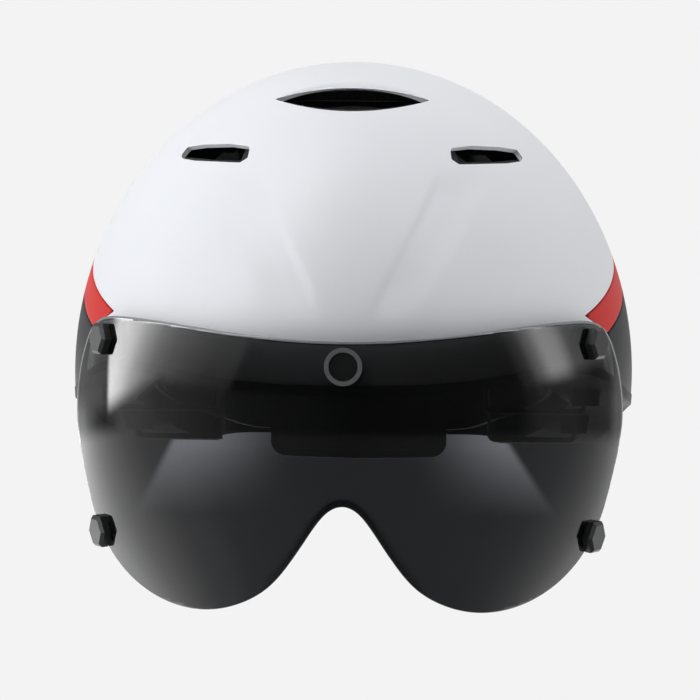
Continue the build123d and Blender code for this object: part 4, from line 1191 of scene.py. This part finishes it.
def stitchTree():
    # beads of thread set along each sewn line
    tree = bpy.data.node_groups.new("stitchRows", "GeometryNodeTree")
    add = partial(addNode, tree)
    sockets = (
        ("Geometry", "INPUT", "Geometry"),
        ("Spacing", "INPUT", "Float"),
        ("Stitch Length", "INPUT", "Float"),
        ("Thread Thickness", "INPUT", "Float"),
        ("Thread", "INPUT", "Material"),
        ("Geometry", "OUTPUT", "Geometry"),
    )
    for name, way, kind in sockets:
        tree.interface.new_socket(name, in_out=way, socket_type="NodeSocket" + kind)
    line, spacing, length, thickness, thread, _ = add("NodeGroupInput").outputs
    rows = add("GeometryNodeMeshToCurve", {"Mesh": line})
    spots = add("GeometryNodeResampleCurve", {"Curve": rows, "Length": spacing}, mode="LENGTH")
    bead = add("GeometryNodeMeshUVSphere", {"Segments": 8, "Rings": 6, "Radius": 0.5})
    size = add("ShaderNodeCombineXYZ", {"X": thickness, "Y": thickness, "Z": length})
    way = add("GeometryNodeInputTangent")
    turned = add("FunctionNodeAlignRotationToVector", {"Vector": way}, axis="Z")
    copied = {"Points": spots, "Instance": bead, "Rotation": turned, "Scale": size}
    copies = add("GeometryNodeInstanceOnPoints", copied)
    real = add("GeometryNodeRealizeInstances", {"Geometry": copies})
    dressed = add("GeometryNodeSetMaterial", {"Geometry": real, "Material": thread})
    add("NodeGroupOutput", {"Geometry": dressed})
    return tree


def makeStitches():
    t = stitches
    points, edges = [], []
    for line in stitchLines:
        edges += [(len(points) + k, len(points) + k + 1) for k in range(len(line) - 1)]
        points += [tuple(p * mm) for p in line]
    mesh = bpy.data.meshes.new("strap_stitches")
    mesh.from_pydata(points, edges, [])
    piece = bpy.data.objects.new("strap_stitches", mesh)
    scene.collection.objects.link(piece)
    rows = piece.modifiers.new("stitchRows", "NODES")
    rows.node_group = stitchTree()
    values = {
        "Spacing": t["spacing"] * mm,
        "Stitch Length": t["length"] * mm,
        "Thread Thickness": t["thickness"] * mm,
        "Thread": threadMaterial,
    }
    for item in rows.node_group.interface.items_tree:
        if item.in_out == "INPUT" and item.name in values:
            rows[item.identifier] = values[item.name]
    shaped = piece.evaluated_get(bpy.context.evaluated_depsgraph_get())
    piece.data = bpy.data.meshes.new_from_object(shaped)
    piece.modifiers.clear()
    finishPiece(piece, threadMaterial, "helmet", "webbing")
    print("stitches", len(piece.data.polygons), "faces")


screws = {
    "caseX": 19.0,
    "caseZ": 11.6,
    "caseTop": 6.0,
    "guideX": 8.6,
    "guideZ": 50.0,
    "guideTop": -7.4,
    "headRadius": 1.7,
    "headHeight": 0.8,
    "socketRadius": 0.85,
    "socketDepth": 0.5,
    "shankRadius": 1.0,
    "shankLength": 6.0,
    "edge": 0.2,
    "sides": 24,
}


def screwMesh():
    # one small screw with a six sided socket, its head's face at 0 and its shank below
    n = screws
    sides = n["sides"]
    turns = [2 * math.pi * k / sides for k in range(sides)]
    slants = [math.cos((t % (math.pi / 3)) - math.pi / 6) for t in turns]
    socket = [n["socketRadius"] * (math.cos(math.pi / 6) / slant) for slant in slants]
    rings = [
        (socket, -n["socketDepth"]),
        (socket, 0.0),
        ([n["headRadius"] - n["edge"]] * sides, 0.0),
        ([n["headRadius"]] * sides, -n["edge"]),
        ([n["headRadius"]] * sides, -n["headHeight"]),
        ([n["shankRadius"]] * sides, -n["headHeight"]),
        ([n["shankRadius"]] * sides, -n["shankLength"]),
    ]
    points = [(r * math.cos(t), r * math.sin(t), z) for radii, z in rings for r, t in zip(radii, turns)]
    return np.array(points), tubeFaces(len(rings), sides)


def makeScrews():
    n = screws
    screw, faces = screwMesh()
    x, z, out = screw.T
    caseSpots = [(a * n["caseX"], n["caseTop"], b * n["caseZ"], 1) for a in (-1, 1) for b in (-1, 1)]
    guideSpots = [(a * n["guideX"], n["guideTop"], n["guideZ"], -1) for a in (-1, 1)]
    sets = {"dial_case_screws": ("cradle", caseSpots), "height_guide_screws": ("helmet", guideSpots)}
    for node, (body, spots) in sets.items():
        placed, joined = [], []
        for k, (right, back, up, face) in enumerate(spots):
            placed.append(fromDial(np.stack((right + x, back + face * out, up + z), -1)))
            joined += [tuple(i + k * len(screw) for i in f) for f in faces]
        points = np.concatenate(placed)
        makePiece(node, "_heads", points, joined, body, "steel", sharpAngle=35.0, outward=True)
    print("screws made")


studio = {
    "background": 0.896,
    "ambient": 0.29,
    "ambientColour": "#FCFDFF",
    "brightest": 9.0,
    "sunk": -0.4,
    "levelTilt": -0.11,
    "streakEdge": (-121.5, -118.5),
    "beyondStreak": 0.5,
    "streakEnd": (-0.016, -0.042),
    "gapEnd": (-0.093, -0.112),
}
# what glossy surfaces mirror at three heights: how far its bearings lean, and from bearings in degrees
# from the front to the brightness there
mirroredHigh = (
    2.4,
    (-180, 0.6), (-123, 0.62), (-119, 1.6), (-116, 7.2), (-111, 7.9), (-106, 6.9), (-100, 4.2), (-93, 2.2),
    (-86, 1.35), (-77, 0.85), (-66, 0.45), (-54, 0.33), (-51, 0.03), (0, 0.02), (77, 0.06), (84, 0.4),
    (90, 1.8), (95, 3.6), (101, 3.0), (107, 0.95), (116, 0.5), (128, 0.55), (180, 0.6),
)
mirroredGap = (
    0.0,
    (-180, 1.2), (-139, 1.1), (-134, 0.6), (-128, 0.2), (-122, 0.1), (-117, 0.25), (-112, 0.55), (-106, 0.6),
    (-98, 0.55), (-92, 0.42), (-74, 0.28), (-50, 0.1), (0, 0.03), (81, 0.04), (91, 0.2), (107, 0.2),
    (121, 0.08), (131, 0.12), (137, 0.5), (180, 1.0),
)
mirroredLow = (
    -3.3,
    (-180, 1.6), (-168, 2.6), (-157, 3.2), (-150, 2.1), (-145, 1.5), (-138, 1.05), (-131, 0.75), (-123, 0.52),
    (-110, 0.43), (-95, 0.26), (-74, 0.2), (-50, 0.17), (-20, 0.12), (0, 0.1), (60, 0.13), (110, 0.16),
    (130, 0.25), (140, 0.42), (146, 0.65), (150, 0.9), (154, 1.4), (158, 1.8), (167, 2.0), (180, 1.6),
)


def bearingRamp(add, bearing, stops):
    # brightness round the studio, from a short list of bearings
    ramp = add("ShaderNodeValToRGB", {"Fac": bearing})
    marks = ramp.color_ramp.elements
    for k, (degrees, level) in enumerate(stops):
        place = (degrees + 180) / 360
        mark = marks.new(place) if 0 < k < len(stops) - 1 else marks[0 if k == 0 else -1]
        mark.position = place
        share = level / studio["brightest"]
        mark.color = (share, share, share, 1)
    return ramp


def makeWorld():
    # the camera sees plain white, matt surfaces get soft light, glossy ones mirror three heights of studio
    s = studio
    scene.world = bpy.data.worlds.new("studioWorld")
    add = startTree(scene.world)
    path = add("ShaderNodeLightPath").outputs
    place = add("ShaderNodeTexCoord").outputs["Generated"]
    x, y, z = add("ShaderNodeSeparateXYZ", {"Vector": place}).outputs
    ahead = add("ShaderNodeMath", {0: y, 1: -1.0}, operation="MULTIPLY")
    turn = add("ShaderNodeMath", {0: x, 1: ahead}, operation="ARCTAN2")
    sunk = add("ShaderNodeMath", {0: z, 1: s["sunk"]}, operation="MAXIMUM")
    slant = add("ShaderNodeMath", {0: x, 1: sunk}, operation="MULTIPLY")
    ramps = []
    for lean, *stops in (mirroredHigh, mirroredGap, mirroredLow):
        leaning = add("ShaderNodeMath", {0: slant, 1: lean, 2: turn}, operation="MULTIPLY_ADD")
        span = {"Value": leaning, "From Min": -math.pi, "From Max": math.pi}
        ramps.append(bearingRamp(add, add("ShaderNodeMapRange", span), stops))
    beside = add("ShaderNodeMath", {0: x, 1: y}, operation="MULTIPLY")
    behindLeft = add("ShaderNodeMath", {0: beside, 1: 0.0}, operation="MINIMUM")
    tilted = add("ShaderNodeMath", {0: behindLeft, 1: s["levelTilt"], 2: z}, operation="MULTIPLY_ADD")
    faint = s["beyondStreak"] / s["brightest"]
    colour = (faint, faint, faint, 1)
    streakEdge = [math.radians(degrees) for degrees in s["streakEdge"]]
    steps = ((turn, streakEdge, ramps[0]), (tilted, s["streakEnd"], ramps[1]), (z, s["gapEnd"], ramps[2]))
    for source, (start, end), beyond in steps:
        span = {"Value": source, "From Min": start, "From Max": end}
        level = add("ShaderNodeMapRange", span, interpolation_type="SMOOTHSTEP")
        colour = add("ShaderNodeMix", {0: level, 6: colour, 7: beyond}, data_type="RGBA").outputs[2]
    mirrored = {"Color": colour, "Strength": s["brightest"]}
    soft = {"Color": hexColour(s["ambientColour"]), "Strength": s["ambient"]}
    plain = {"Color": hexColour("#FFFFFF"), "Strength": s["background"]}
    mirrored, soft, plain = (add("ShaderNodeBackground", values) for values in (mirrored, soft, plain))
    lit = add("ShaderNodeMixShader", {0: path["Is Glossy Ray"], 1: soft, 2: mirrored})
    seen = add("ShaderNodeMixShader", {0: path["Is Camera Ray"], 1: lit, 2: plain})
    add("ShaderNodeOutputWorld", {"Surface": seen})


table = {
    "level": -0.0875,
    "reach": 2.4,
    "colour": "#EDEDED",
    # tint is the colour of the card's painted glow; glow is its strength in the painted shade and in the
    # painted lit lanes
    "tint": "#DDE2EC",
    "glow": (0.2, 2.4),
    "laneInner": (0.031, 0.101),
    "laneOuter": (0.102, 0.096),
    "laneBack": (0.27, 0.62),
    "laneTurns": (0.026, 0.038),
}


def makeFloor():
    # the table under the helmet, shown only through the smoked lens: it glows though it is no lamp, with
    # painted shade and a painted lit lane on each side of the tail's painted shadow
    t = table
    reach = t["reach"]
    corners = [(x * reach, y * reach, t["level"]) for x, y in ((-1, -1), (1, -1), (1, 1), (-1, 1))]
    floor = meshObject("studioTable", corners, [(0, 1, 2, 3)])
    material = bpy.data.materials.new("tableCardPaintedLightAndShade")
    add = startTree(material)
    path = add("ShaderNodeLightPath").outputs
    place = add("ShaderNodeTexCoord").outputs["Object"]
    x, y, _ = add("ShaderNodeSeparateXYZ", {"Vector": place}).outputs
    edges = {"laneBack": y}
    for name, lean in zip(("laneInner", "laneOuter"), t["laneTurns"]):
        turned = add("ShaderNodeMath", {0: y, 1: lean, 2: x}, operation="MULTIPLY_ADD")
        edges[name] = add("ShaderNodeMath", {0: turned}, operation="ABSOLUTE")
    # painted light: bright in a lane on each side that grows towards the back, painted shade elsewhere
    glow = 1.0
    for name, source in edges.items():
        span = {"Value": source, "From Min": t[name][0], "From Max": t[name][1]}
        kind = "LINEAR" if name == "laneBack" else "SMOOTHSTEP"
        edge = add("ShaderNodeMapRange", span, interpolation_type=kind)
        glow = add("ShaderNodeMath", {0: glow, 1: edge}, operation="MULTIPLY")
    # the card's emission strength, from the painted shade up to the painted lit lanes
    strength = add("ShaderNodeMapRange", {"Value": glow, "To Min": t["glow"][0], "To Max": t["glow"][1]})
    seen = add("ShaderNodeEmission", {"Color": hexColour(t["tint"]), "Strength": strength})
    behind = {0: path["Transparent Depth"], 1: 0.5}
    through = add("ShaderNodeMath", behind, operation="GREATER_THAN")
    clear = add("ShaderNodeBsdfTransparent")
    lookedAt = add("ShaderNodeMixShader", {0: through, 1: clear, 2: seen})
    card = add("ShaderNodeBsdfDiffuse", {"Color": hexColour(t["colour"])})
    mixed = add("ShaderNodeMixShader", {0: path["Is Camera Ray"], 1: card, 2: lookedAt})
    add("ShaderNodeOutputMaterial", {"Surface": mixed})
    floor.data.materials.append(material)
    floor.visible_glossy = False


lamps = {
    "keySoftbox": {"place": (-0.45, -0.2, 1.57), "aim": (0, 0, 0.03), "size": (1.0, 1.0), "power": 19.5},
    "leftPanel": {"place": (-1.15, -0.1, 0.22), "aim": (0, 0, 0), "size": (0.9, 0.55), "power": 4.4},
    "rightStrip": {"place": (1.15, 0.1, 0.3), "aim": (0, 0, 0), "size": (0.4, 0.5), "power": 4.2},
}


def makeLights():
    # glossy surfaces mirror the world's studio and not these
    for name, lamp in lamps.items():
        data = bpy.data.lights.new(name, "AREA")
        data.shape = "RECTANGLE"
        data.size, data.size_y = lamp["size"]
        data.energy = lamp["power"]
        addAimed(name, data, lamp["place"], lamp["aim"]).visible_glossy = False


makeCamera()
makeSkins()
makeLens()
makePads()
makeStraps()
makeStitches()
makeScrews()
makeWorld()
makeFloor()
makeLights()
scene.view_settings.view_transform = "Standard"
print("scene complete")
